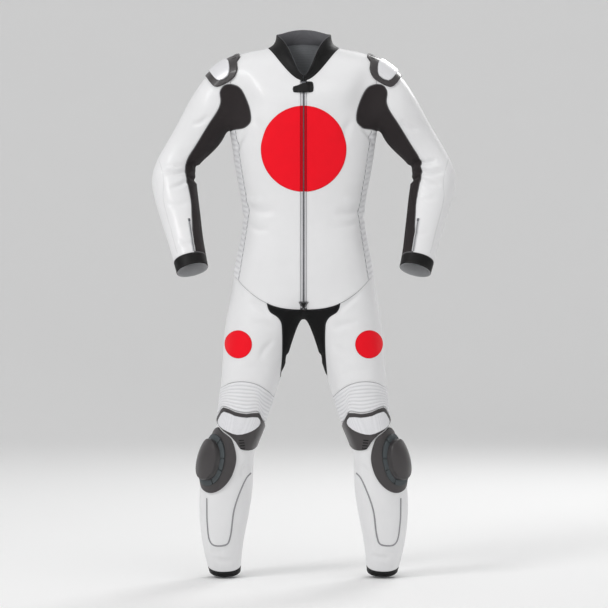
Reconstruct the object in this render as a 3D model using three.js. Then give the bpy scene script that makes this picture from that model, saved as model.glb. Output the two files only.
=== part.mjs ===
// Motorcycle race suit: one-piece leathers in worn shape, with nobody inside.
// Millimetres, +Z up, the chest faces -Y. The origin is the middle of the neck opening at shoulder height,
// where the wearer's shoulders carry the suit. Names ending in _r are on the wearer's right, which is -X.
//
// One smooth skin is worked out from rings of the body, sleeves and legs. Seam lines are drawn on it,
// and each piece of leather is the part of the skin between its seams, given a thickness.

import * as THREE from "three";

const { sin, cos, abs, hypot, sign, min, max, PI } = Math;
const DEGREE = PI / 180;
const TINY = 1e-9;
const ON_CENTRE = 1e-6; // a point this close to the middle plane lies on it

// Driving sizes
const LEATHER = 2.0; // leather with its lining
const SEAM_GAP = 0.3; // between neighbouring pieces
const COLLAR_WALL = 3.0;
const RIB_HEIGHT = 1.6;
const COLLAR_GAP = 1.8; // between the collar's two ends
const TRIM = 1; // discs and small patches
const PAD_LIFT = 0.3; // between a piece and what it is sewn on
const BODY_SQUARENESS = 2.35; // exponent of the body's rounded sections
const LIMB_SQUARENESS = 2.1;
const NECK_SQUARENESS = 2.0;
const FIT_ROUNDS = 6;

// Rings of the body, from the hips up: height, half width, reach forwards and backwards.
const BODY_RINGS = [
  { z: -650, half: 192, front: 104, back: 122 },
  { z: -550, half: 176, front: 106, back: 109 },
  { z: -440, half: 159, front: 100, back: 97 },
  { z: -330, half: 177, front: 110, back: 107 },
  { z: -222, half: 194, front: 119, back: 119 },
];

// Rings of the yoke, neck and collar: the height runs from front to side to back, with how sharply it climbs
// at the front.
const YOKE_RINGS = [
  { half: 186, front: 119, back: 121, zFront: -158, zSide: -150, zBack: -140, climb: 2.0 },
  { half: 184, front: 108, back: 99, zFront: -122, zSide: -26, zBack: -50, climb: 3.0 },
  { half: 93, front: 92, back: 66, zFront: -96, zSide: -1, zBack: 16, climb: 1.5 },
  { half: 72, front: 91, back: 55, zFront: -82, zSide: 34, zBack: 53, climb: 0.9 },
];
const NECK_RING = 2; // the collar starts at this yoke ring
const BODY_TURNS = [0, 30, 60, 90, 120, 150, 180]; // degrees from the front centre, for half the body
const ARMHOLE = { first: 2, last: 4 }; // the columns that the sleeve takes out of the body
const LEG_TURNS = [-30, 6, 46, 90, 134, 174, 210, 240, 270, 300]; // from the leg's own front

// Rings of a sleeve, from the shoulder to the cuff, as seen from the front on the left side:
// the point next to the body, the point away from it, then half the depth, the middle's depth and the
// forward tilt.
const SLEEVE_RINGS = [
  { innerX: 212, innerZ: -241, outerX: 269, outerZ: -92, depth: 73, y: 7, tilt: 0 },
  { innerX: 246, innerZ: -278, outerX: 325, outerZ: -187, depth: 60, y: 16, tilt: -2 },
  { innerX: 283, innerZ: -317, outerX: 373, outerZ: -268, depth: 53, y: 22, tilt: 2 },
  { innerX: 284, innerZ: -350, outerX: 400, outerZ: -338, depth: 57, y: 13, tilt: 12 },
  { innerX: 275, innerZ: -412, outerX: 388, outerZ: -415, depth: 55, y: -11, tilt: 21 },
  { innerX: 263, innerZ: -505, outerX: 354, outerZ: -518, depth: 43, y: -58, tilt: 24 },
  { innerX: 249, innerZ: -578, outerX: 330, outerZ: -600, depth: 40, y: -92, tilt: 22 },
];

// Rings of a leg, from the crotch to the ankle: height, the side next to the other leg, the outer side, the
// front, the back and how far a ring tilts.
const LEG_RINGS = [
  { z: -745, inner: 19, outer: 208, front: -98, back: 110, tilt: 0 },
  { z: -880, inner: 64, outer: 218, front: -93, back: 74, tilt: 0 },
  { z: -1005, inner: 107, outer: 233, front: -90, back: 54, tilt: 2 },
  { z: -1075, inner: 131, outer: 258, front: -84, back: 56, tilt: -6 },
  { z: -1175, inner: 136, outer: 275, front: -60, back: 80, tilt: -12 },
  { z: -1295, inner: 157, outer: 270, front: -28, back: 94, tilt: -15 },
  { z: -1387, inner: 168, outer: 250, front: 4, back: 92, tilt: -15 },
];
const CROTCH = [
  { y: 80, z: -703 },
  { y: 8, z: -719 },
  { y: -68, z: -701 },
];

// Seams, as seen from the front on the left side
// The body's lower edge dips to the middle.
const HIP_SEAM = { zCentre: -692, zSide: -599, half: 184, curve: 2.6 };
const ARMHOLE_SEAM = { xTop: 186, zTop: -36, lean: 14 / 188 };
const SIDE_SEAM_Y = 24; // the back panel starts here
const SHOULDER_SEAM_Y = 4;
const SLEEVE_SEAM_Y = 10; // behind the sleeve's middle
const LEG_SEAM_Y = 12;
const ZIP = {
  half: 8, teethHalf: 2.5, tapeSink: 0.8, teethRise: 1.2, top: -104, bottom: -690, step: 34,
  slider: { half: 6.2, top: -98, bottom: -115, rise: 3, clear: 1 },
};
const CUFF_BAND = 31;
const HEM_BAND = 16;
const SIDE_STRIP = { width: 16, ribs: 28, slant: 9, top: -212, bottom: -620 };
const STRIP_TOP = -205; // the side strips start just below here
const OUTSIDE = 50; // the value of a seam's field where the seam doesn't reach
const CENTRED = ["back", "collar", "crotch_panel", "slot", "scrap"];
// A point that is nearer to a seam than this share of its edge moves onto it.
const SEAM_SNAP = 0.16;
const PATCH_SNAP = 0.02;
const CROSSING_ROUNDS = 12;
const LONGEST_EDGE = 45; // in the skin's triangles

// How far a surface may move where points are taken out
const PANEL_TOLERANCE = 0.9;
const PIECE_TOLERANCE = 0.01;
const OUTLINE_TOLERANCE = 0.4;
const RIB_TOLERANCE = 0.3;
const SIMPLIFY_ROUNDS = 6;
const MOST_TURN = 0.6; // cosine of how far a changed triangle may turn from the old ones
const THINNEST = 0.07; // a triangle's height over its longest side
const STEADY = 0.9999; // the same cosine where a rim's point is taken out
const OVERHANG = 1e-3; // share by which a point may miss a triangle that it projects into
const SHARPEST_CORNER = 0.35; // cosine that limits how far a rim's corner moves

const STRETCH_FRONT = [
  [193, -102], [168, -111], [150, -141], [138, -180], [139, -205], [156, -219], [182, -222],
  [197, -226], [206, -243], [228, -272], [252, -298], [272, -322], [269, -345], [238, -548],
  [276, -556], [291, -459], [295, -405], [309, -330], [306, -298], [282, -259], [250, -209],
  [223, -168], [217, -148], [219, -123], [210, -107],
];
const STRETCH_BACK = [
  [186, -212], [196, -230], [206, -243], [228, -272], [252, -298], [272, -322], [269, -345], [238, -548],
  [272, -556], [284, -459], [290, -405], [300, -335], [290, -306], [262, -275], [232, -240], [216, -214],
];
const CROTCH_PANEL = [
  [0, -640], [92, -640], [94, -683], [87, -698], [67, -712], [58, -726], [56, -745], [56, -789],
  [58, -830], [61, -866], [59, -893], [51, -878], [34, -830], [16, -789], [0, -769],
];
const KNEE_RIBS = {
  ribs: 8,
  top: [[30, -957], [75, -924], [92, -905], [123, -886], [160, -879], [193, -884], [216, -897], [260, -922]],
  bottom: [
    [60, -1008], [103, -985], [112, -972], [119, -957], [149, -960], [177, -955], [203, -945], [213, -945],
    [222, -961], [260, -985],
  ],
};
const CUP_FRAME = [
  [181, 0], [166, -29], [174, -43], [172, -62], [180, -84], [196, -97], [225, -110], [238, -105],
  [251, -87], [258, -76], [300, -60], [300, 0],
];
const CUP_PLATE = [
  [212, 0], [208, -31], [196, -42], [192, -62], [196, -82], [220, -95], [232, -87], [242, -72],
  [252, -62], [300, -40], [300, 0],
];
const KNEE_FLAP = [
  [208, -947], [177, -958], [149, -963], [118, -961], [110, -977], [104, -989], [106, -1007],
  [114, -1033], [127, -1052], [137, -1058], [154, -1058], [165, -1054], [176, -1037], [192, -1019],
  [209, -1007], [219, -996], [226, -981], [217, -960],
];
const KNEE_SHIELD = [
  [204, -958], [177, -968], [149, -972], [122, -971], [117, -986], [130, -1002], [149, -1012],
  [173, -1017], [195, -1010], [214, -998], [219, -986], [214, -972],
];
const KNEE = { flap: 3.5, shield: 3.5, clearance: 3 };
const CUP = { frame: 4.5, plate: 3.5 };
const SLIDER = {
  turn: 46, rise: 8, lean: 17, x: 195, y: -14, z: -1093, base: 5, ring: 5, puck: 20, dome: 5, squareness: 2.3,
};
const SLIDER_OVALS = {
  base: { across: -6, wide: 52, tall: 87 },
  ring: { across: 0, wide: 41, tall: 68 },
  puck: { across: 0, wide: 33, tall: 53 },
};
const CHEST_DISC = { z: -275, radius: 111 };
const THIGH_DISC = { x: 170.5, z: -782, radius: 36.5 };
const NECK_TAB_OUTLINE = [
  [-27, -127], [-27, -114], [-10, -110], [14, -102], [22, -102], [25, -107], [25, -125], [21, -129],
  [-23, -129],
];
// Where beside the zip the tab starts to come down, and over what width.
const NECK_TAB = { beside: 1, fall: 8 };
const ZIP_END = { half: 13.5, top: -671, bottom: -691.5 };
const SLEEVE_ZIP = { half: 4, line: [[299, -454], [293, -490], [284, -540]] };
const SHIN_PIPING = [
  [139, -1121], [148, -1130], [163, -1161], [182, -1216], [192, -1286], [199, -1306], [208, -1311],
  [236, -1311], [246, -1300], [253, -1252], [254, -1186],
];
// The shins' piping, and how thick a small zip is.
const CORD = { half: 2, low: 0.6, high: 1.9, sag: 0.16, step: 2 };
const CALF_ZIP = { half: 5, line: [[202, -1190], [206, -1270], [207, -1352]] };

// Points and vectors as plain arrays
const add = (a, b, k = 1) => [a[0] + b[0] * k, a[1] + b[1] * k, a[2] + b[2] * k];
const sub = (a, b) => add(a, b, -1);
const scaled = (a, k) => a.map((value) => value * k);
const dot = (a, b) => a[0] * b[0] + a[1] * b[1] + a[2] * b[2];
const cross = (a, b) => [a[1] * b[2] - a[2] * b[1], a[2] * b[0] - a[0] * b[2], a[0] * b[1] - a[1] * b[0]];
const unit = (a) => {
  const size = hypot(...a) || 1;
  return [a[0] / size, a[1] / size, a[2] / size];
};
const mix = (a, b, t) => a.map((value, i) => value + (b[i] - value) * t);
const sum = (points) => points.reduce((total, point) => add(total, point), [0, 0, 0]);
const mean = (points) => sum(points).map((value) => value / points.length);
const mirrored = ([x, y, z]) => [-x, y, z];
const withoutDust = (point) => point.map((value) => (abs(value) < TINY ? 0 : value));

// A signed power, which rounds a circle's sine or cosine towards a rounded box.
const squared = (value, squareness) => sign(value) * abs(value) ** (2 / squareness);

// A value read from a table's column at a height, straight between its rows.
function atHeight(rows, z, column) {
  for (let i = 1; i < rows.length; i++) {
    const [a, b] = [rows[i - 1], rows[i]];
    if ((z - a.z) * (z - b.z) <= 0) return a[column] + ((b[column] - a[column]) * (z - a.z)) / (b.z - a.z);
  }
  const ends = [rows[0], rows.at(-1)];
  return abs(z - ends[0].z) < abs(z - ends[1].z) ? ends[0][column] : ends[1][column];
}

// Cage of the skin

function bodyPoint(ring, turn) {
  const across = squared(sin(turn * DEGREE), BODY_SQUARENESS);
  const along = squared(cos(turn * DEGREE), BODY_SQUARENESS);
  return [ring.half * across, along > 0 ? -ring.front * along : -ring.back * along, ring.z];
}

function yokePoint(ring, turn, squareness) {
  const across = squared(sin(turn * DEGREE), squareness);
  const along = squared(cos(turn * DEGREE), squareness);
  const z =
    along > 0
      ? ring.zFront + (ring.zSide - ring.zFront) * across ** ring.climb
      : ring.zSide + (ring.zBack - ring.zSide) * (1 - across ** 2);
  return [ring.half * across, along > 0 ? -ring.front * along : -ring.back * along, z];
}

function sleevePoint(ring, angle) {
  const inner = [ring.innerX, ring.y, ring.innerZ];
  const outer = [ring.outerX, ring.y, ring.outerZ];
  const width = sub(outer, inner);
  const across = unit(width);
  const up = [-across[2], 0, across[0]];
  const forward = add([0, -cos(ring.tilt * DEGREE), 0], up, sin(ring.tilt * DEGREE));
  const middle = mix(inner, outer, 0.5);
  const a = -squared(cos(angle * DEGREE), LIMB_SQUARENESS) * (hypot(...width) / 2);
  const b = squared(sin(angle * DEGREE), LIMB_SQUARENESS) * ring.depth;
  return add(add(middle, across, a), forward, b);
}

function legPoint(ring, angle) {
  const x = (ring.inner + ring.outer) / 2;
  const y = (ring.front + ring.back) / 2;
  const a = squared(sin(angle * DEGREE), LIMB_SQUARENESS) * ((ring.outer - ring.inner) / 2);
  const b = squared(cos(angle * DEGREE), LIMB_SQUARENESS) * ((ring.back - ring.front) / 2);
  return [x + a, y - b, ring.z + b * Math.tan(ring.tilt * DEGREE)];
}

// Builds the cage of quads: half the body's columns, then both sides together.
function makeCage() {
  const points = [];
  const faces = [];
  const known = new Map();
  const put = (point) => {
    const key = point.map((value) => value.toFixed(3)).join();
    if (!known.has(key)) {
      known.set(key, points.length);
      points.push(point);
    }
    return known.get(key);
  };
  for (const side of [1, -1]) {
    const place = (point) => put(withoutDust(side > 0 ? point : mirrored(point)));
    const face = (part, corners) => faces.push({ part, v: side > 0 ? corners : [...corners].reverse() });
    const rings = BODY_RINGS.map((ring) => BODY_TURNS.map((turn) => place(bodyPoint(ring, turn))));
    YOKE_RINGS.forEach((ring, i) => {
      const squareness = i < NECK_RING ? BODY_SQUARENESS : NECK_SQUARENESS;
      const hidden = (column) => i === 0 && column > ARMHOLE.first && column < ARMHOLE.last;
      rings.push(
        BODY_TURNS.map((turn, column) => (hidden(column) ? -1 : place(yokePoint(ring, turn, squareness)))),
      );
    });
    const middleRow = BODY_RINGS.length;
    for (let row = 1; row < rings.length; row++) {
      const inSleeve = row === middleRow || row === middleRow + 1;
      for (let column = 1; column < BODY_TURNS.length; column++) {
        if (inSleeve && column > ARMHOLE.first && column <= ARMHOLE.last) continue;
        const part = row > middleRow + NECK_RING ? "collar" : "body";
        face(part, [
          rings[row - 1][column - 1],
          rings[row - 1][column],
          rings[row][column],
          rings[row][column - 1],
        ]);
      }
    }
    const [low, mid, high] = [rings[middleRow - 1], rings[middleRow], rings[middleRow + 1]];
    let loop = [low[3], low[2], mid[2], high[2], high[3], high[4], mid[4], low[4]];
    for (const ring of SLEEVE_RINGS) {
      const next = loop.map((_, k) => place(sleevePoint(ring, (k * 360) / loop.length)));
      loop.forEach((_, k) => {
        const j = (k + 1) % loop.length;
        face("sleeve", [loop[j], loop[k], next[k], next[j]]);
      });
      loop = next;
    }
    loop = [...rings[0], ...CROTCH.map(({ y, z }) => place([0, y, z]))];
    for (const ring of LEG_RINGS) {
      const next = LEG_TURNS.map((turn) => place(legPoint(ring, turn)));
      loop.forEach((_, k) => {
        const j = (k + 1) % loop.length;
        face("leg", [loop[j], loop[k], next[k], next[j]]);
      });
      loop = next;
    }
  }
  return { points, faces };
}

// One round of Catmull-Clark subdivision; the old points keep their numbers.
function subdivide({ points, faces }) {
  const edges = new Map();
  const total = points.length;
  const facePoints = faces.map(({ v }) => mean(v.map((i) => points[i])));
  faces.forEach(({ v }, f) =>
    v.forEach((a, k) => {
      const b = v[(k + 1) % 4];
      const key = min(a, b) * total + max(a, b);
      if (!edges.has(key)) edges.set(key, { a, b, faces: [] });
      edges.get(key).faces.push(f);
    }),
  );
  const made = points.slice();
  const around = points.map(() => ({ faces: [], edges: [], rim: [] }));
  faces.forEach(({ v }, f) => v.forEach((i) => around[i].faces.push(f)));
  for (const edge of edges.values()) {
    const middle = mix(points[edge.a], points[edge.b], 0.5);
    edge.index = made.length;
    if (edge.faces.length === 2) {
      made.push(mix(middle, mix(facePoints[edge.faces[0]], facePoints[edge.faces[1]], 0.5), 0.5));
    } else {
      made.push(middle);
      around[edge.a].rim.push(edge.b);
      around[edge.b].rim.push(edge.a);
    }
    around[edge.a].edges.push(middle);
    around[edge.b].edges.push(middle);
  }
  points.forEach((point, i) => {
    const { faces: near, edges: spokes, rim } = around[i];
    if (rim.length === 2) {
      made[i] = add(add(scaled(point, 3 / 4), points[rim[0]], 1 / 8), points[rim[1]], 1 / 8);
      return;
    }
    const n = near.length;
    const faceMean = mean(near.map((f) => facePoints[f]));
    const edgeMean = mean(spokes);
    made[i] = [0, 1, 2].map((c) => (faceMean[c] + 2 * edgeMean[c] + (n - 3) * point[c]) / n);
  });
  const quads = [];
  faces.forEach(({ v, part }, f) => {
    const centre = made.length;
    made.push(facePoints[f]);
    v.forEach((a, k) => {
      const [b, z] = [v[(k + 1) % 4], v[(k + 3) % 4]];
      const next = edges.get(min(a, b) * total + max(a, b)).index;
      const last = edges.get(min(a, z) * total + max(a, z)).index;
      quads.push({ part, v: [a, next, centre, last] });
    });
  });
  return { points: made, faces: quads };
}

// Moves the cage until the smooth skin passes through the rings' own points.
function fitCage(cage) {
  const target = cage.points.map((point) => [...point]);
  for (let round = 0; round < FIT_ROUNDS; round++) {
    const smooth = subdivide(subdivide(cage)).points;
    cage.points = cage.points.map((point, i) => add(point, sub(target[i], smooth[i])));
  }
  return cage;
}

// The skin as triangles: points and outward directions from the smooth surface, on a mesh subdivided once.
function makeSkin() {
  const once = subdivide(fitCage(makeCage()));
  const fine = subdivide(subdivide(once));
  const normals = fine.points.map(() => [0, 0, 0]);
  for (const { v } of fine.faces) {
    const n = cross(sub(fine.points[v[2]], fine.points[v[0]]), sub(fine.points[v[3]], fine.points[v[1]]));
    v.forEach((i) => (normals[i] = add(normals[i], n)));
  }
  const points = once.points.map((_, i) => ({ p: fine.points[i], n: unit(normals[i]) }));
  const triangles = [];
  for (const { v, part } of once.faces) {
    const d = sub(points[v[2]].p, points[v[0]].p);
    const e = sub(points[v[3]].p, points[v[1]].p);
    const cuts = hypot(...d) <= hypot(...e) ? [[0, 1, 2], [0, 2, 3]] : [[0, 1, 3], [1, 2, 3]];
    for (const cut of cuts) triangles.push({ v: cut.map((k) => v[k]), label: part });
  }
  return { points, triangles };
}

// Draws the line where field is 0 on the triangles with one of the labels, and relabels each side.
function drawSeam(skin, labels, field, relabel, snap = SEAM_SNAP) {
  const chosen = (t) => labels.includes(t.label);
  const value = new Map();
  const mixed = new Map();
  for (const t of skin.triangles) {
    for (const i of t.v) {
      const seen = mixed.get(i);
      mixed.set(i, seen === undefined || seen === t.label ? t.label : null);
      if (chosen(t) && !value.has(i)) value.set(i, field(skin.points[i].p) || TINY);
    }
  }
  const closest = new Map();
  for (const t of skin.triangles.filter(chosen)) {
    t.v.forEach((a, k) => {
      for (const [i, j] of [[a, t.v[(k + 1) % 3]], [t.v[(k + 1) % 3], a]]) {
        const [fi, fj] = [value.get(i), value.get(j)];
        if (fi * fj >= 0 || mixed.get(i) === null || abs(skin.points[i].p[0]) < ON_CENTRE) continue;
        const share = crossing(skin.points[i], skin.points[j], field, fi);
        if (share < snap && share < (closest.get(i)?.share ?? 1)) closest.set(i, { share, j });
      }
    });
  }
  const old = [...skin.points];
  for (const [i, { share, j }] of closest) {
    skin.points[i] = between(old[i], old[j], share);
    value.set(i, 0);
  }
  const cuts = new Map();
  const cutOf = (i, j) => {
    const [fi, fj] = [value.get(i), value.get(j)];
    if (!(fi * fj < 0)) return undefined;
    const key = min(i, j) + "/" + max(i, j);
    if (!cuts.has(key)) {
      cuts.set(key, skin.points.length);
      const share = crossing(skin.points[i], skin.points[j], field, fi);
      skin.points.push(between(skin.points[i], skin.points[j], share));
    }
    return cuts.get(key);
  };
  for (const t of skin.triangles.filter(chosen)) t.v.forEach((a, k) => cutOf(a, t.v[(k + 1) % 3]));
  const made = [];
  for (const t of skin.triangles) {
    const ring = [];
    t.v.forEach((a, k) => {
      const b = t.v[(k + 1) % 3];
      ring.push({ i: a, f: value.get(a) ?? 0 });
      const cut = cuts.get(min(a, b) + "/" + max(a, b));
      if (cut !== undefined) ring.push({ i: cut, f: 0 });
    });
    if (!chosen(t)) {
      made.push(...fan(ring, t.label, skin.points));
      continue;
    }
    for (const side of [1, -1]) {
      const part = ring.filter(({ f }) => f * side >= 0);
      if (part.length < 3 || !part.some(({ f }) => f * side > 0)) continue;
      made.push(...fan(part, relabel(t.label, side > 0), skin.points));
    }
    if (ring.every(({ f }) => f === 0)) made.push(...fan(ring, relabel(t.label, true), skin.points));
  }
  skin.triangles = made;
}

// Where the field changes its sign between two points, as a share of the way.
function crossing(a, b, field, start) {
  let [low, high] = [0, 1];
  for (let i = 0; i < CROSSING_ROUNDS; i++) {
    const middle = (low + high) / 2;
    if (field(mix(a.p, b.p, middle)) * start > 0) low = middle;
    else high = middle;
  }
  return (low + high) / 2;
}

const between = (a, b, t) => ({ p: mix(a.p, b.p, t), n: mix(a.n, b.n, t) });

// Cuts a flat polygon of 3 to 5 corners into triangles, from the corner that gives the fattest ones.
function fan(ring, label, points) {
  const ids = ring.map(({ i }) => i);
  if (ids.length === 3) return [{ v: ids, label }];
  let best;
  for (let start = 0; start < ids.length; start++) {
    const turned = [...ids.slice(start), ...ids.slice(0, start)];
    const cuts = [];
    for (let k = 2; k < turned.length; k++) cuts.push([turned[0], turned[k - 1], turned[k]]);
    const worst = min(...cuts.map((cut) => fatness(cut.map((i) => points[i].p))));
    if (!best || worst > best.worst) best = { worst, cuts };
  }
  return best.cuts.map((v) => ({ v, label }));
}

function fatness([a, b, c]) {
  const area = hypot(...cross(sub(b, a), sub(c, a)));
  return area / max(dot(sub(b, a), sub(b, a)), dot(sub(c, b), sub(c, b)), dot(sub(a, c), sub(a, c)));
}

// Outlines

// A smooth closed outline through points of a table, with round corners.
function smoothLoop(table, steps = 4) {
  const curve = new THREE.CatmullRomCurve3(
    table.map(([x, z]) => new THREE.Vector3(x, z, 0)),
    true,
    "centripetal",
  );
  return curve.getPoints(table.length * steps).slice(0, -1).map(({ x, y }) => [x, y]);
}

function toSegment(x, z, a, b) {
  const [dx, dz] = [b[0] - a[0], b[1] - a[1]];
  const t = min(1, max(0, ((x - a[0]) * dx + (z - a[1]) * dz) / (dx * dx + dz * dz || 1)));
  return hypot(x - a[0] - t * dx, z - a[1] - t * dz);
}

// Distance from an outline in the front view, below 0 inside it.
function outlineField(loop) {
  return (x, z) => {
    let nearest = Infinity;
    let inside = false;
    loop.forEach((a, k) => {
      const b = loop[(k + 1) % loop.length];
      nearest = min(nearest, toSegment(x, z, a, b));
      if (a[1] > z !== b[1] > z && x < a[0] + ((z - a[1]) * (b[0] - a[0])) / (b[1] - a[1])) inside = !inside;
    });
    return inside ? -nearest : nearest;
  };
}

// Height of a line of points at x, straight between them.
function lineAt(points, x) {
  for (let i = 1; i < points.length; i++) {
    const [a, b] = [points[i - 1], points[i]];
    if (x <= b[0] || i === points.length - 1) return a[1] + ((b[1] - a[1]) * (x - a[0])) / (b[0] - a[0]);
  }
  return points[0][1];
}

// Where a point lies on a sleeve: how far behind the sleeve's middle, and how far along it, in rings.
function onSleeve([px, py, pz]) {
  const x = abs(px);
  let best = { gap: Infinity };
  for (let i = 1; i < SLEEVE_RINGS.length; i++) {
    const [a, b] = [SLEEVE_RINGS[i - 1], SLEEVE_RINGS[i]];
    const mid = (ring) => [(ring.innerX + ring.outerX) / 2, (ring.innerZ + ring.outerZ) / 2];
    const [m, n] = [mid(a), mid(b)];
    const [dx, dz] = [n[0] - m[0], n[1] - m[1]];
    const t = ((x - m[0]) * dx + (pz - m[1]) * dz) / (dx * dx + dz * dz);
    const held = min(1, max(0, t));
    const gap = hypot(x - m[0] - held * dx, pz - m[1] - held * dz);
    if (gap < best.gap) best = { gap, station: i - 1 + held, y: a.y + (b.y - a.y) * held };
  }
  return { behind: py - best.y, station: best.station };
}

function behindLeg([, y, z]) {
  return y - (atHeight(LEG_RINGS, z, "front") + atHeight(LEG_RINGS, z, "back")) / 2;
}

// Panels: on one half of the skin the seams are drawn one after another and each side is named.
function layOutPanels() {
  const skin = makeSkin();
  skin.triangles = skin.triangles.filter(({ v }) => v.every((i) => skin.points[i].p[0] > -ON_CENTRE));
  const seam = (labels, field, outside, inside) =>
    drawSeam(skin, labels, field, (label, out) => (out ? outside : inside) ?? label);

  const hipRise = (x) => (HIP_SEAM.zSide - HIP_SEAM.zCentre) * (x / HIP_SEAM.half) ** HIP_SEAM.curve;
  seam(["body", "leg"], ([x, , z]) => z - HIP_SEAM.zCentre - hipRise(max(0, x)), "upper", "lower");
  const armhole = ([x, , z]) => x - ARMHOLE_SEAM.xTop - (ARMHOLE_SEAM.zTop - z) * ARMHOLE_SEAM.lean;
  seam(["upper", "sleeve"], armhole, "arm", "trunk");
  const [stretchFront, stretchBack] = [STRETCH_FRONT, STRETCH_BACK].map((table) =>
    outlineField(smoothLoop(table)),
  );
  const stretch = (p) => (onSleeve(p).behind < 0 ? stretchFront : stretchBack)(p[0], p[2]);
  seam(["trunk", "arm"], stretch, undefined, "stretch");
  seam(["stretch", "arm"], cuffField, "cuff", undefined);
  seam(["arm"], (p) => onSleeve(p).behind - SLEEVE_SEAM_Y, "sleeve_back", "sleeve_front");

  const seamY = (z) => SHOULDER_SEAM_Y + (SIDE_SEAM_Y - SHOULDER_SEAM_Y) * min(1, max(0, z / STRIP_TOP));
  seam(["trunk"], ([, y, z]) => y - seamY(z), "back", "front");
  const besideStrip = ([x, , z]) => atHeight(BODY_RINGS, z, "half") - SIDE_STRIP.width - x;
  const strip = (p) => (p[2] > STRIP_TOP ? OUTSIDE : besideStrip(p));
  seam(["front"], strip, undefined, "side_strip");
  seam(["front"], ([x]) => x - ZIP.half, undefined, "slot");
  seam(["collar"], ([x, y]) => (y > 0 ? OUTSIDE : x - COLLAR_GAP / 2), undefined, "scrap");

  const crotch = outlineField(smoothLoop(CROTCH_PANEL));
  seam(["lower"], ([x, , z]) => crotch(x, z), "leg", "crotch_panel");
  const ankle = LEG_RINGS.at(-1);
  const slope = Math.tan(ankle.tilt * DEGREE);
  seam(["leg"], (p) => p[2] - ankle.z + behindLeg(p) * slope - HEM_BAND, undefined, "hem");
  seam(["leg"], (p) => behindLeg(p) - LEG_SEAM_Y, "leg_back", "thigh");
  const above = (line) => ([x, , z]) => z - lineAt(line, x);
  seam(["thigh"], above(KNEE_RIBS.top), undefined, "knee_ribs");
  seam(["knee_ribs"], above(KNEE_RIBS.bottom), undefined, "shin");
  return bothSides(skin);
}

// Thins out each panel, then adds its mirror image: a panel that crosses the centre is one piece.
function bothSides({ points, triangles }) {
  const other = points.map(({ p }, i) => (abs(p[0]) < ON_CENTRE ? i : i + points.length));
  const twins = points.map(({ p, n }) => ({ p: mirrored(p), n: mirrored(n) }));
  const whole = { points: [...points, ...twins], triangles: [] };
  for (const name of new Set(triangles.map(({ label }) => label))) {
    const own = triangles.filter(({ label }) => label === name).map(({ v }) => v);
    const centred = CENTRED.includes(name);
    for (const [a, b, c] of simplify(own, (i) => points[i].p, PANEL_TOLERANCE)) {
      whole.triangles.push({ v: [a, b, c], label: centred ? name : name + "_l" });
      whole.triangles.push({ v: [other[a], other[c], other[b]], label: centred ? name : name + "_r" });
    }
  }
  return whole;
}

// How far below the cuff band's upper edge a point lies, along the sleeve's last stretch.
function cuffField(p) {
  const [last, before] = [SLEEVE_RINGS.at(-1), SLEEVE_RINGS.at(-2)];
  const middle = (ring) => [(ring.innerX + ring.outerX) / 2, ring.y, (ring.innerZ + ring.outerZ) / 2];
  const along = unit(sub(middle(last), middle(before)));
  const end = middle(last);
  return dot(sub([abs(p[0]), p[1], p[2]], end), along) + CUFF_BAND;
}

// Solids

// Closes a set of triangles into a wall. Every corner has a top and a bottom; `plain` may give the bottom
// fewer triangles than the top, over the same rim. The rim keeps half a seam's gap from the neighbour.
function wall(points, triangles, shape = {}) {
  const { thick = LEATHER, lift = 0, top, bottom, plain = triangles, gap = SEAM_GAP / 2 } = shape;
  const { corners, faces } = splitFans(points, triangles);
  const rise = typeof lift === "function" ? lift : () => lift;
  const pulls = new Map();
  const edges = rimOf(faces);
  for (const [a, b] of edges) {
    const inward = unit(cross(corners[a].n, sub(corners[b].p, corners[a].p)));
    for (const i of [a, b]) pulls.set(i, [...(pulls.get(i) ?? []), inward]);
  }
  const base = corners.map(({ p }, i) => {
    if (!pulls.has(i)) return p;
    const [one, other] = pulls.get(i);
    const pull = unit(add(one, other ?? one));
    return add(p, pull, gap / max(SHARPEST_CORNER, dot(pull, one)));
  });
  const outer = base.map((p, i) => (top ? top(p, corners[i].n) : add(p, corners[i].n, rise(p))));
  const total = corners.length;
  const solid = [...faces];
  if (plain !== triangles) {
    const index = new Map(corners.map(({ id }, i) => [id, i]));
    const low = base.map((p, i) => add(p, corners[i].n, -thick));
    const under = plain.map((v) => v.map((i) => index.get(i)));
    const next = new Map(edges);
    for (const [a, b] of rimOf(under)) {
      const first = corners[a].id < corners[b].id;
      for (let i = a; i !== b; i = next.get(i)) solid.push([next.get(i), i, (first ? b : a) + total]);
      solid.push([first ? a : b, a + total, b + total]);
    }
    solid.push(...under.map(([a, b, c]) => [a + total, c + total, b + total]));
    return { positions: [...outer, ...low], triangles: solid };
  }
  const inner = base.map((p, i) => (bottom ? bottom(p, corners[i].n) : add(outer[i], corners[i].n, -thick)));
  solid.push(...faces.map(([a, b, c]) => [a + total, c + total, b + total]));
  for (const [a, b] of edges) {
    // Neighbours split the twisted face between them along the same diagonal.
    if (corners[a].id < corners[b].id) solid.push([b, a, b + total], [a, a + total, b + total]);
    else solid.push([b, a, a + total], [b, a + total, b + total]);
  }
  return { positions: [...outer, ...inner], triangles: solid };
}

// The directed edges that only one triangle has.
function rimOf(faces) {
  const edges = faces.flatMap((v) => v.map((a, k) => [a, v[(k + 1) % 3]]));
  const known = new Set(edges.map(([a, b]) => a + "/" + b));
  return edges.filter(([a, b]) => !known.has(b + "/" + a));
}

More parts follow.
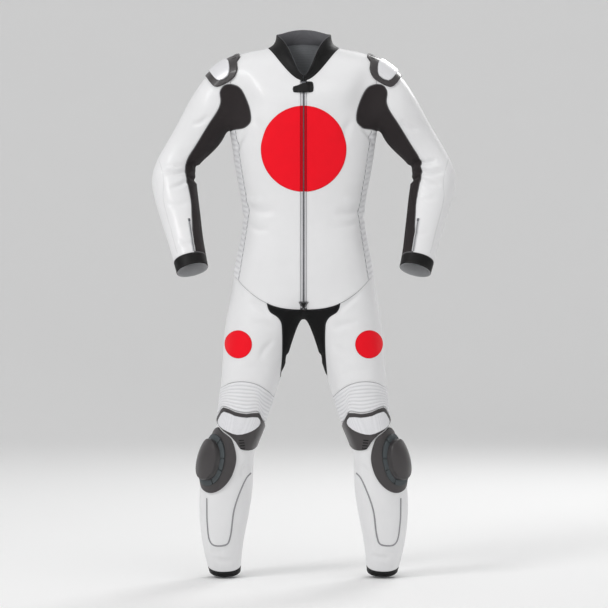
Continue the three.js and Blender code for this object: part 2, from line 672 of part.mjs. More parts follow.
// Gives each fan of triangles at a point its own corner, so that a wall never touches itself at a point.
function splitFans(points, triangles) {
  const corners = [];
  const faces = triangles.map(() => []);
  const byPoint = new Map();
  triangles.forEach((v, f) => v.forEach((i) => byPoint.set(i, [...(byPoint.get(i) ?? []), f])));
  for (const [i, near] of byPoint) {
    const left = new Set(near);
    while (left.size) {
      const queue = [left.values().next().value];
      left.delete(queue[0]);
      const index = corners.length;
      corners.push({ ...points[i], id: i });
      while (queue.length) {
        const f = queue.pop();
        faces[f][triangles[f].indexOf(i)] = index;
        const others = triangles[f].filter((j) => j !== i);
        for (const g of [...left]) {
          if (triangles[g].some((j) => others.includes(j))) {
            left.delete(g);
            queue.push(g);
          }
        }
      }
    }
  }
  return { corners, faces };
}

function mesh(name, { positions, triangles }, material) {
  const geometry = new THREE.BufferGeometry();
  geometry.setAttribute("position", new THREE.Float32BufferAttribute(positions.flat(), 3));
  geometry.setIndex(triangles.flat());
  geometry.computeVertexNormals();
  const made = new THREE.Mesh(geometry, material);
  made.name = name;
  return made;
}

// Takes out points that a surface can spare. Points on the rim stay, unless `rimTolerance` frees them.
function simplify(triangles, at, tolerance, rimTolerance = 0) {
  let faces = triangles;
  for (let round = 0; round < SIMPLIFY_ROUNDS; round++) {
    const fans = new Map();
    faces.forEach((v, f) => v.forEach((i) => fans.set(i, [...(fans.get(i) ?? []), f])));
    const result = faces.map((v) => v);
    const touched = new Set();
    for (const [i, fan] of fans) {
      const next = new Map(fan.map((f) => turnedTo(faces[f], i).slice(1)));
      const ring = [...new Set([...next.keys(), ...next.values()])];
      if (next.size < fan.length || touched.has(i) || ring.some((j) => touched.has(j))) continue;
      const ends = ring.filter((j) => !next.has(j) || ![...next.values()].includes(j));
      if (ends.length > 2 || (ends.length && !rimTolerance)) continue;
      if (ends.length && offLine(at(i), at(ends[0]), at(ends[1])) > rimTolerance) continue;
      const old = fan.map((f) => faces[f].map(at));
      const outward = unit(sum(old.map(([a, b, c]) => cross(sub(b, a), sub(c, a)))));
      let best;
      for (const u of ends.length ? ends : ring) {
        const beside = new Set(fans.get(u).flatMap((f) => faces[f]));
        if (ring.filter((j) => j !== u && beside.has(j)).length !== (ends.length ? 1 : 2)) continue;
        const kept = fan.filter((f) => !faces[f].includes(u));
        const moved = kept.map((f) => faces[f].map((j) => (j === i ? u : j)));
        const shapes = moved.map((v) => v.map(at));
        const sound = (shape) => dot(facing(shape), outward) > MOST_TURN && fatness(shape) > THINNEST;
        if (!shapes.length || !shapes.every(sound)) continue;
        const steady = (shape, k) => dot(facing(shape), facing(faces[kept[k]].map(at))) > STEADY;
        if (ends.length && !shapes.every(steady)) continue;
        const newEdges = ring.filter((j) => j !== u && !beside.has(j)).map((j) => mix(at(u), at(j), 0.5));
        const sag = newEdges.map((middle) => min(...old.map((shape) => heightOver(middle, shape))));
        const error = ends.length ? 0 : max(...sag, min(...shapes.map((shape) => heightOver(at(i), shape))));
        const thinnest = min(...shapes.map(fatness));
        if (error <= tolerance && (!best || error - thinnest < best.cost)) {
          best = { cost: error - thinnest, kept, moved };
        }
      }
      if (!best) continue;
      fan.forEach((f) => (result[f] = null));
      best.kept.forEach((f, k) => (result[f] = best.moved[k]));
      [i, ...ring].forEach((j) => touched.add(j));
    }
    if (!touched.size) break;
    faces = result.filter((v) => v);
  }
  return faces;
}

const facing = ([a, b, c]) => unit(cross(sub(b, a), sub(c, a)));
const turnedTo = (v, i) => (v[0] === i ? v : v[1] === i ? [v[1], v[2], v[0]] : [v[2], v[0], v[1]]);

function offLine(p, a, b) {
  const line = sub(b, a);
  const t = dot(sub(p, a), line) / (dot(line, line) || 1);
  return t < 0 || t > 1 ? Infinity : hypot(...sub(p, add(a, line, t)));
}

// How far a point lies from a triangle that it projects into.
function heightOver(p, [a, b, c]) {
  const n = cross(sub(b, a), sub(c, a));
  const size = dot(n, n);
  const from = sub(p, a);
  const s = dot(cross(from, sub(c, a)), n) / size;
  const t = dot(cross(sub(b, a), from), n) / size;
  const misses = s < -OVERHANG || t < -OVERHANG || s + t > 1 + OVERHANG;
  return misses ? Infinity : abs(dot(from, unit(n)));
}

// A copy of some panels' triangles, each cut in four `times` over where the field is low.
function finer(skin, labels, field, times) {
  const chosen = skin.triangles.filter(({ label }) => labels.includes(label));
  const copy = { points: [...skin.points], triangles: chosen };
  for (let round = 0; round < times; round++) {
    const near = ({ v }) => min(...v.map((i) => field(copy.points[i].p))) < LONGEST_EDGE / 2 ** round;
    copy.triangles = copy.triangles.filter(near);
    const middles = new Map();
    const middle = (a, b) => {
      const key = min(a, b) + "/" + max(a, b);
      if (!middles.has(key)) {
        middles.set(key, copy.points.length);
        copy.points.push(between(copy.points[a], copy.points[b], 0.5));
      }
      return middles.get(key);
    };
    copy.triangles = copy.triangles.flatMap(({ v: [a, b, c], label }) => {
      const [d, e, f] = [middle(a, b), middle(b, c), middle(c, a)];
      return [[a, d, f], [d, b, e], [f, e, c], [d, e, f]].map((v) => ({ v, label }));
    });
  }
  return copy;
}

// A piece laid on the panels below it: their own points inside an outline, moved out.
function laidOn(skin, labels, field, { times = 0, ...shape }) {
  const copy = finer(skin, labels, field, times);
  const used = [...new Set(copy.triangles.map(({ label }) => label))];
  drawSeam(copy, used, field, (_, out) => (out ? "rest" : "piece"), PATCH_SNAP);
  const inside = copy.triangles.filter(({ label }) => label === "piece").map(({ v }) => v);
  const lean = simplify(inside, (i) => copy.points[i].p, PIECE_TOLERANCE, OUTLINE_TOLERANCE);
  return wall(copy.points, lean, { gap: 0, ...shape });
}

// The skin's point straight behind (x, z) in the front view, or straight before it in the back view.
function skinAt(skin, x, z, back = false) {
  let best;
  for (const { v } of skin.triangles) {
    const [a, b, c] = v.map((i) => skin.points[i]);
    const size = (b.p[0] - a.p[0]) * (c.p[2] - a.p[2]) - (b.p[2] - a.p[2]) * (c.p[0] - a.p[0]);
    if (abs(size) < TINY) continue;
    const s = ((x - a.p[0]) * (c.p[2] - a.p[2]) - (z - a.p[2]) * (c.p[0] - a.p[0])) / size;
    const t = ((b.p[0] - a.p[0]) * (z - a.p[2]) - (b.p[2] - a.p[2]) * (x - a.p[0])) / size;
    if (s < -ON_CENTRE || t < -ON_CENTRE || s + t > 1 + ON_CENTRE) continue;
    const point = { p: add(add(a.p, sub(b.p, a.p), s), sub(c.p, a.p), t) };
    point.n = unit(add(add(a.n, sub(b.n, a.n), s), sub(c.n, a.n), t));
    if (!best || (back ? point.p[1] > best.p[1] : point.p[1] < best.p[1])) best = point;
  }
  return best;
}

// A long narrow piece along stations on the skin: `half` wide each way, from `low` to `high` above the skin.
function ribbon(stations, { half, low, high }) {
  const positions = [];
  const triangles = [];
  stations.forEach(({ p, n }, i) => {
    const ahead = sub((stations[i + 1] ?? stations[i]).p, (stations[i - 1] ?? stations[i]).p);
    const across = unit(cross(ahead, n));
    for (const [side, height] of [[1, high], [-1, high], [-1, low], [1, low]]) {
      positions.push(add(add(p, across, side * half), n, height));
    }
    if (i === 0) return;
    for (let k = 0; k < 4; k++) {
      const [a, b] = [4 * i - 4 + k, 4 * i - 4 + ((k + 1) % 4)];
      triangles.push([a, b + 4, b], [a, a + 4, b + 4]);
    }
  });
  const last = positions.length - 4;
  triangles.push([0, 1, 2], [0, 2, 3], [last, last + 2, last + 1], [last, last + 3, last + 2]);
  return { positions, triangles };
}

// Stations along a table's line on the skin, no more of them than its facets ask for.
function alongSkin(skin, table, back = false) {
  const corners = table.map(([x, z]) => new THREE.Vector3(x, z, 0));
  const curve = new THREE.CatmullRomCurve3(corners, false, "centripetal");
  const spaced = curve.getSpacedPoints(Math.round(curve.getLength() / CORD.step));
  const fine = spaced.map(({ x, y }) => skinAt(skin, x, y, back));
  const kept = [fine[0]];
  for (let start = 0, end = 2; start < fine.length - 1; end++) {
    const between = fine.slice(start + 1, end);
    const straight = between.every(({ p }) => offLine(p, fine[start].p, fine[end]?.p ?? p) < CORD.sag);
    if (end < fine.length && straight) continue;
    start = end - 1;
    kept.push(fine[start]);
    end = start + 1;
  }
  return kept;
}

// Mirrors a solid to the wearer's right.
function otherSide({ positions, triangles }) {
  return { positions: positions.map(mirrored), triangles: triangles.map(([a, b, c]) => [a, c, b]) };
}

const UNBUILT = ["slot", "scrap"]; // the zip's slot and the collar's gap
const MATERIALS = {
  leather: new THREE.MeshStandardMaterial({ color: 0xf2f2f0, roughness: 0.55 }),
  black: new THREE.MeshStandardMaterial({ color: 0x161616, roughness: 0.6 }),
  stretch: new THREE.MeshStandardMaterial({ color: 0x2e2b2c, roughness: 0.9 }),
  rib: new THREE.MeshStandardMaterial({ color: 0xd9d9d9, roughness: 0.8 }),
  zip: new THREE.MeshStandardMaterial({ color: 0x8d8f92, roughness: 0.5, metalness: 0.4 }),
  red: new THREE.MeshStandardMaterial({ color: 0xf40b2c, roughness: 0.5 }),
  armour: new THREE.MeshStandardMaterial({ color: 0x343133, roughness: 0.45 }),
  ring: new THREE.MeshStandardMaterial({ color: 0x434a4d, roughness: 0.6 }),
  plate: new THREE.MeshStandardMaterial({ color: 0xdcdde0, roughness: 0.35 }),
  tape: new THREE.MeshStandardMaterial({ color: 0xc4c4c6, roughness: 0.9 }),
};
const MATERIAL_OF = [
  [/^(stretch|crotch)/, "stretch"],
  [/^(cuff|hem|collar|neck_tab|zip_end)/, "black"],
  [/^(knee_ribs|side_strip)/, "rib"],
  [/disc/, "red"],
  [/^(shoulder_cup|knee_flap|slider_base|slider_puck)/, "armour"],
  [/^slider_ring/, "ring"],
  [/^(shoulder_plate|knee_shield)/, "plate"],
  [/^(zip_tape|shin_piping)/, "tape"],
  [/zip/, "zip"],
];
const materialOf = (name) => MATERIALS[MATERIAL_OF.find(([pattern]) => pattern.test(name))?.[1] ?? "leather"];

// Ribs

const SHARE_END = 0.0001; // keeps a share of the ribs off its two ends

// A panel with `count` raised ribs over a plain inside. `share` runs from 0 to 1 across them all.
function ribbed(skin, label, share, count) {
  const copy = { points: [...skin.points], triangles: skin.triangles };
  const pick = () => copy.triangles.filter((t) => t.label === label).map(({ v }) => v);
  const plain = pick();
  for (let i = 1; i < 2 * count; i++) {
    drawSeam(copy, [label], (p) => share(p) - i / (2 * count), (name) => name);
  }
  const lift = (p) => RIB_HEIGHT * (1 - abs(((share(p) * count) % 1) * 2 - 1));
  const raised = (i) => add(copy.points[i].p, unit(copy.points[i].n), lift(copy.points[i].p));
  return wall(copy.points, simplify(pick(), raised, RIB_TOLERANCE), { plain, lift });
}

const kneeShare = ([x, , z]) => {
  const [top, bottom] = [lineAt(KNEE_RIBS.top, abs(x)), lineAt(KNEE_RIBS.bottom, abs(x))];
  return min(1 - SHARE_END, max(SHARE_END, (top - z) / (top - bottom)));
};
const stripShare = ([x, , z]) => {
  const slanted = z - (abs(x) - atHeight(BODY_RINGS, z, "half")) * (SIDE_STRIP.slant / SIDE_STRIP.width);
  const share = (SIDE_STRIP.top - slanted) / (SIDE_STRIP.top - SIDE_STRIP.bottom);
  return min(1 - SHARE_END, max(SHARE_END, share));
};

// Pieces

function panels(skin) {
  const pieces = {};
  const built = (name) => !UNBUILT.includes(name) && !name.endsWith("_r");
  const names = [...new Set(skin.triangles.map(({ label }) => label))].filter(built);
  for (const name of names) {
    const own = skin.triangles.filter(({ label }) => label === name).map(({ v }) => v);
    if (name.startsWith("knee_ribs")) pieces[name] = ribbed(skin, name, kneeShare, KNEE_RIBS.ribs);
    else if (name.startsWith("side_strip")) pieces[name] = ribbed(skin, name, stripShare, SIDE_STRIP.ribs);
    else pieces[name] = wall(skin.points, own, { thick: name === "collar" ? COLLAR_WALL : LEATHER });
  }
  return pieces;
}

function frontZip(skin) {
  const line = (x) => {
    const rows = Math.round((ZIP.top - ZIP.bottom) / ZIP.step);
    const heights = Array.from({ length: rows + 1 }, (_, i) => ZIP.top + ((ZIP.bottom - ZIP.top) * i) / rows);
    return heights.map((z) => skinAt(skin, x, z));
  };
  const inner = ZIP.teethHalf + SEAM_GAP;
  const outer = ZIP.half - SEAM_GAP;
  const tape = { half: (outer - inner) / 2, low: -LEATHER, high: -ZIP.tapeSink };
  const teeth = line(0).filter(({ p }) => p[2] < ZIP.slider.bottom - ZIP.slider.clear);
  const { top, bottom } = ZIP.slider;
  const body = [top, (top + bottom) / 2, bottom].map((z) => skinAt(skin, 0, z));
  return {
    zip_tape_l: ribbon(line((inner + outer) / 2), tape),
    zip_tape_r: ribbon(line(-(inner + outer) / 2), tape),
    zip_chain: ribbon(teeth, { half: ZIP.teethHalf, low: -LEATHER, high: ZIP.teethRise }),
    zip_slider: ribbon(body, { half: ZIP.slider.half, low: 0, high: ZIP.slider.rise }),
  };
}

function trims(skin) {
  const front = ["front_l", "front_r", "slot"];
  const tab = outlineField(smoothLoop(NECK_TAB_OUTLINE, 2));
  const overZip = (p) => {
    const slope = (abs(p[0]) - ZIP.half - NECK_TAB.beside) / NECK_TAB.fall;
    return PAD_LIFT + (ZIP.slider.rise + PAD_LIFT) * (1 - min(1, max(0, slope)));
  };
  const { half, top, bottom } = ZIP_END;
  const end = outlineField([[-half, top], [half, top], [0, bottom]]);
  const disc = ([x, , z]) => hypot(x, z - CHEST_DISC.z) - CHEST_DISC.radius;
  const flatPiece = { thick: TRIM, lift: PAD_LIFT + TRIM };
  const thigh = ([x, , z]) => hypot(x - THIGH_DISC.x, z - THIGH_DISC.z) - THIGH_DISC.radius;
  const pieces = {
    neck_tab: laidOn(skin, front, ([x, , z]) => tab(x, z), {
      times: 1,
      bottom: (p, n) => add(p, n, overZip(p)),
      top: (p, n) => add(p, n, overZip(p) + LEATHER),
    }),
    zip_end: laidOn(skin, front, ([x, , z]) => end(x, z), {
      times: 1,
      thick: TRIM,
      lift: ZIP.teethRise + PAD_LIFT + TRIM,
    }),
    chest_disc_l: laidOn(skin, ["front_l"], disc, flatPiece),
    thigh_disc_l: laidOn(skin, ["thigh_l"], thigh, { ...flatPiece, times: 1 }),
  };
  const { low, high } = CORD;
  const cord = (line, half, back) => ribbon(alongSkin(skin, line, back), { half, low, high });
  pieces.shin_piping_l = cord(SHIN_PIPING, CORD.half);
  pieces.sleeve_zip_l = cord(SLEEVE_ZIP.line, SLEEVE_ZIP.half);
  pieces.calf_zip_l = cord(CALF_ZIP.line, CALF_ZIP.half, true);
  return pieces;
}

// Armour: the shoulder's cup and plate, the flap and shield over the knee, and the knee's slider.
function armour(skin) {
  const shoulder = ["front_l", "back", "sleeve_front_l", "sleeve_back_l", "stretch_l"];
  const overKnee = ["thigh_l", "knee_ribs_l", "shin_l"];
  const knee = [...overKnee, "leg_back_l"];
  const view = (table) => {
    const field = outlineField(smoothLoop(table, 2));
    return ([x, , z]) => field(x, z);
  };
  const flap = view(KNEE_FLAP);
  const [turn, rise, lean] = [SLIDER.turn * DEGREE, SLIDER.rise * DEGREE, SLIDER.lean * DEGREE];
  const out = [sin(turn) * cos(rise), -cos(turn) * cos(rise), sin(rise)];
  const level = [cos(turn), sin(turn), 0];
  const steep = scaled(cross(level, out), -1);
  const across = add(scaled(level, cos(lean)), steep, sin(lean));
  const up = add(scaled(steep, cos(lean)), level, -sin(lean));
  const centre = [SLIDER.x, SLIDER.y, SLIDER.z];
  const oval = (p, { across: offset, wide, tall }) => {
    const from = sub(add(p, level, -offset), centre);
    const power = SLIDER.squareness;
    const [u, v] = [abs(dot(from, across) / wide), abs(dot(from, up) / tall)];
    const round = (u ** power + v ** power) ** (1 / power);
    return max((round - 1) * min(wide, tall), -dot(from, out));
  };
  const stack = (low, thick) => ({ times: 1, thick, lift: low + thick });
  const ringLow = 2 * PAD_LIFT + SLIDER.base;
  const puckLow = ringLow + SLIDER.ring + PAD_LIFT;
  const puckTop = (p, n) => {
    const from = sub(p, centre);
    const { wide, tall } = SLIDER_OVALS.puck;
    const fall = SLIDER.dome * ((dot(from, across) / wide) ** 2 + (dot(from, up) / tall) ** 2);
    return add(add(p, n, puckLow), out, SLIDER.puck - fall);
  };
  return {
    shoulder_cup_l: laidOn(skin, shoulder, view(CUP_FRAME), { thick: CUP.frame, lift: PAD_LIFT + CUP.frame }),
    shoulder_plate_l: laidOn(skin, shoulder, view(CUP_PLATE), {
      thick: CUP.plate,
      lift: 2 * PAD_LIFT + CUP.frame + CUP.plate,
    }),
    knee_flap_l: laidOn(skin, overKnee, flap, stack(PAD_LIFT, KNEE.flap)),
    knee_shield_l: laidOn(skin, overKnee, view(KNEE_SHIELD), stack(2 * PAD_LIFT + KNEE.flap, KNEE.shield)),
    slider_base_l: laidOn(
      skin,
      knee,
      (p) => max(oval(p, SLIDER_OVALS.base), KNEE.clearance - flap(p)),
      stack(PAD_LIFT, SLIDER.base),
    ),
    slider_ring_l: laidOn(
      skin,
      knee,
      (p) => max(oval(p, SLIDER_OVALS.ring), KNEE.clearance - flap(p)),
      stack(ringLow, SLIDER.ring),
    ),
    slider_puck_l: laidOn(skin, knee, (p) => oval(p, SLIDER_OVALS.puck), {
      times: 1,
      bottom: (p, n) => add(p, n, puckLow),
      top: puckTop,
    }),
  };
}

function build() {
  const suit = new THREE.Group();
  suit.name = "race_suit";
  const skin = layOutPanels();
  const pieces = { ...panels(skin), ...frontZip(skin), ...trims(skin), ...armour(skin) };
  for (const [name, solid] of Object.entries(pieces)) {
    suit.add(mesh(name, solid, materialOf(name)));
    const twin = name.replace(/_l$/, "_r");
    if (twin !== name && !pieces[twin]) suit.add(mesh(twin, otherSide(solid), materialOf(name)));
  }
  return suit;
}

export default build();
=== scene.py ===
"""Motorcycle race suit: one-piece leathers in worn shape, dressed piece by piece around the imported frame.

Tables are in millimetres on the wearer's left side, +X. The right side is their mirror image, with creases
of its own. Pieces are made in metres.
"""

import math
from collections import namedtuple

import bpy
import numpy as np
from bpy.props import FloatProperty, FloatVectorProperty, PointerProperty
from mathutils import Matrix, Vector
from mathutils.bvhtree import BVHTree


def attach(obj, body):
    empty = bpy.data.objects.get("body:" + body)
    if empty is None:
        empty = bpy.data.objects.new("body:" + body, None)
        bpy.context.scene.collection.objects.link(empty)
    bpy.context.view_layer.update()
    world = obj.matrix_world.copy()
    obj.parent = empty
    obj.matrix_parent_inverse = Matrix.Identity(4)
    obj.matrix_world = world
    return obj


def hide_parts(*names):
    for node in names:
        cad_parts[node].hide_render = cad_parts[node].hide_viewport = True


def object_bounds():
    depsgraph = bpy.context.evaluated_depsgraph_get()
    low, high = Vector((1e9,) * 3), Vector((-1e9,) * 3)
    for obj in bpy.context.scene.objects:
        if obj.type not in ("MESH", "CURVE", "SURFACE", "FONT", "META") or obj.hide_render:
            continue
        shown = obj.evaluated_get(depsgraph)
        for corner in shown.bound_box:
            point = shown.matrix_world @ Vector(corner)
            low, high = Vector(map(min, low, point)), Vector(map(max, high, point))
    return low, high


bl_info = {
    "name": "Race suit",
    "version": (1, 0, 0),
    "blender": (4, 5, 0),
    "location": "View3D > Sidebar > Race suit",
    "description": "Dresses a one-piece motorcycle race suit in leather, stretch fabric and armour",
    "category": "Object",
}

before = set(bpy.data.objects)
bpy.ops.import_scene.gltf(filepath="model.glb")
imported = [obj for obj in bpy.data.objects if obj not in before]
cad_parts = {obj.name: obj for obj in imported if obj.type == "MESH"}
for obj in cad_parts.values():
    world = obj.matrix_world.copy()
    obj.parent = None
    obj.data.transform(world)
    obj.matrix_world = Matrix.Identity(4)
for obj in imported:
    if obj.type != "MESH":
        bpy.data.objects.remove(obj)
CAD_BOX = [list(corner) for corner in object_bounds()]
MM = 0.001
BODY = "root"
LEFT, RIGHT = 1, -1
FLIP = np.array([-1, 1, 1])
ENDING = {LEFT: "_l", RIGHT: "_r"}

# Rings that the skin passes through

BodyRing = namedtuple("BodyRing", "z half front back")
BODY_RINGS = [
    BodyRing(-650, 192, 104, 122),
    BodyRing(-550, 176, 106, 109),
    BodyRing(-440, 159, 100, 97),
    BodyRing(-330, 177, 110, 107),
    BodyRing(-222, 194, 119, 119),
]
YokeRing = namedtuple("YokeRing", "half front back z_front z_side z_back climb")
YOKE_RINGS = [
    YokeRing(186, 119, 121, -158, -150, -140, 2.0),
    YokeRing(184, 108, 99, -122, -26, -50, 3.0),
    YokeRing(93, 92, 66, -96, -1, 16, 1.5),
    YokeRing(72, 91, 55, -82, 34, 53, 0.9),
]
SleeveRing = namedtuple("SleeveRing", "inner_x inner_z outer_x outer_z depth y tilt")
SLEEVE_RINGS = [
    SleeveRing(212, -241, 269, -92, 73, 7, 0),
    SleeveRing(246, -278, 325, -187, 60, 16, -2),
    SleeveRing(283, -317, 373, -268, 53, 22, 2),
    SleeveRing(284, -350, 400, -338, 57, 13, 12),
    SleeveRing(275, -412, 388, -415, 55, -11, 21),
    SleeveRing(263, -505, 354, -518, 43, -58, 24),
    SleeveRing(249, -578, 330, -600, 40, -92, 22),
]
LegRing = namedtuple("LegRing", "z inner outer front back tilt")
LEG_RINGS = [
    LegRing(-745, 19, 208, -98, 110, 0),
    LegRing(-880, 64, 218, -93, 74, 0),
    LegRing(-1005, 107, 233, -90, 54, 2),
    LegRing(-1075, 131, 258, -84, 56, -6),
    LegRing(-1175, 136, 275, -60, 80, -12),
    LegRing(-1295, 157, 270, -28, 94, -15),
    LegRing(-1387, 168, 250, 4, 92, -15),
]
CROTCH = [(80, -703), (8, -719), (-68, -701)]  # y and z of its middle line, from the back
NECK_RING = 2
BODY_TURNS = [0, 30, 60, 90, 120, 150, 180]
ARMHOLE_COLUMNS = (2, 4)
SLEEVE_SIDES = 8
SLEEVE_TURNS = [2 * math.pi * k / SLEEVE_SIDES for k in range(SLEEVE_SIDES)]
LEG_TURNS = [-30, 6, 46, 90, 134, 174, 210, 240, 270, 300]
BODY_SQUARENESS = 2.35
LIMB_SQUARENESS = 2.1
NECK_SQUARENESS = 2.0
FIT_ROUNDS = 6
SKIN_LEVELS = 4
PARTS = ["body", "collar", "sleeve", "leg"]

# Seams

HIP_SEAM = {"middle": -692, "side": -599, "half": 184, "curve": 2.6}
ARMHOLE_SEAM = {"x": 186, "z": -36, "lean": 14 / 188}
SIDE_SEAM_Y = 24
SHOULDER_SEAM_Y = 4
SLEEVE_SEAM_Y = 10
LEG_SEAM_Y = 12
ZIP_HALF = 8
COLLAR_GAP = 1.8
CUFF_BAND = 31
HEM_BAND = 16
STRIP = {"width": 16, "ribs": 28, "slant": 9, "top": -212, "bottom": -620, "start": -205}
CENTRED = ["back", "collar", "crotch_panel"]

STRETCH_FRONT = [
    (193, -102), (168, -111), (150, -141), (138, -180), (139, -205), (156, -219), (182, -222),
    (197, -226), (206, -243), (228, -272), (252, -298), (272, -322), (269, -345), (238, -548),
    (276, -556), (291, -459), (295, -405), (309, -330), (306, -298), (282, -259), (250, -209),
    (223, -168), (217, -148), (219, -123), (210, -107),
]
STRETCH_BACK = [
    (186, -212), (196, -230), (206, -243), (228, -272), (252, -298), (272, -322), (269, -345),
    (238, -548), (272, -556), (284, -459), (290, -405), (300, -335), (290, -306), (262, -275),
    (232, -240), (216, -214),
]
CROTCH_PANEL = [
    (0, -640), (92, -640), (94, -683), (87, -698), (67, -712), (58, -726), (56, -745), (56, -789),
    (58, -830), (61, -866), (59, -893), (51, -878), (34, -830), (16, -789), (0, -769),
]
KNEE_RIBS = 8
KNEE_TOP = [
    (30, -957), (75, -924), (92, -905), (123, -886), (160, -879), (193, -884), (216, -897), (260, -922),
]
KNEE_BOTTOM = [
    (60, -1008), (103, -985), (112, -972), (119, -957), (149, -960), (177, -955), (203, -945),
    (213, -945), (222, -961), (260, -985),
]
CUP_FRAME = [
    (181, 0), (166, -29), (174, -43), (172, -62), (180, -84), (196, -97), (225, -110), (238, -105),
    (251, -87), (258, -76), (300, -60), (300, 0),
]
CUP_PLATE = [
    (212, 0), (208, -31), (196, -42), (192, -62), (196, -82), (220, -95), (232, -87), (242, -72),
    (252, -62), (300, -40), (300, 0),
]
KNEE_FLAP = [
    (208, -947), (177, -958), (149, -963), (118, -961), (110, -977), (104, -989), (106, -1007),
    (114, -1033), (127, -1052), (137, -1058), (154, -1058), (165, -1054), (176, -1037), (192, -1019),
    (209, -1007), (219, -996), (226, -981), (217, -960),
]
KNEE_SHIELD = [
    (204, -958), (177, -968), (149, -972), (122, -971), (117, -986), (130, -1002), (149, -1012),
    (173, -1017), (195, -1010), (214, -998), (219, -986), (214, -972),
]
NECK_TAB = [
    (-27, -127), (-27, -114), (-10, -110), (14, -102), (22, -102), (25, -107), (25, -125), (21, -129),
    (-23, -129),
]
ZIP_END = [(-13.5, -671), (13.5, -671), (0, -691.5)]
CHEST_DISC = {"x": 0, "z": -275, "radius": 111}
THIGH_DISC = {"x": 170.5, "z": -782, "radius": 36.5}
SHIN_PIPING = [
    (139, -1121), (148, -1130), (163, -1161), (182, -1216), (192, -1286), (199, -1306), (208, -1311),
    (236, -1311), (246, -1300), (253, -1252), (254, -1186),
]
SLEEVE_ZIP = [(299, -454), (293, -490), (284, -540)]
CALF_ZIP = [(202, -1190), (206, -1270), (207, -1352)]
ELBOW_TACKS = [
    (382, -296), (374, -318), (368, -342), (366, -366), (368, -390), (364, -416), (356, -446),
    (344, -488), (333, -528), (327, -546),
]
FRONT_ZIP = {"top": -104, "bottom": -690, "slider_top": -98, "slider_bottom": -115}
SLIDER = {"turn": 46, "rise": 8, "lean": 17, "centre": (195, -14, -1093), "power": 2.3}
Oval = namedtuple("Oval", "across wide tall")
SLIDER_BASE = Oval(-6, 52, 87)
SLIDER_RING = Oval(0, 41, 68)
SLIDER_PUCK = Oval(0, 33, 53)
PUCK = {"thick": 20, "dome": 5}
BASE_THICK = 5
RING_THICK = 5
CUP_THICK = 4.5
PLATE_THICK = 3.5
FLAP_THICK = 3.5
PAD_LIFT = 0.3  # between a piece and the cloth that it lies on
FLAP_CLEARANCE = 3

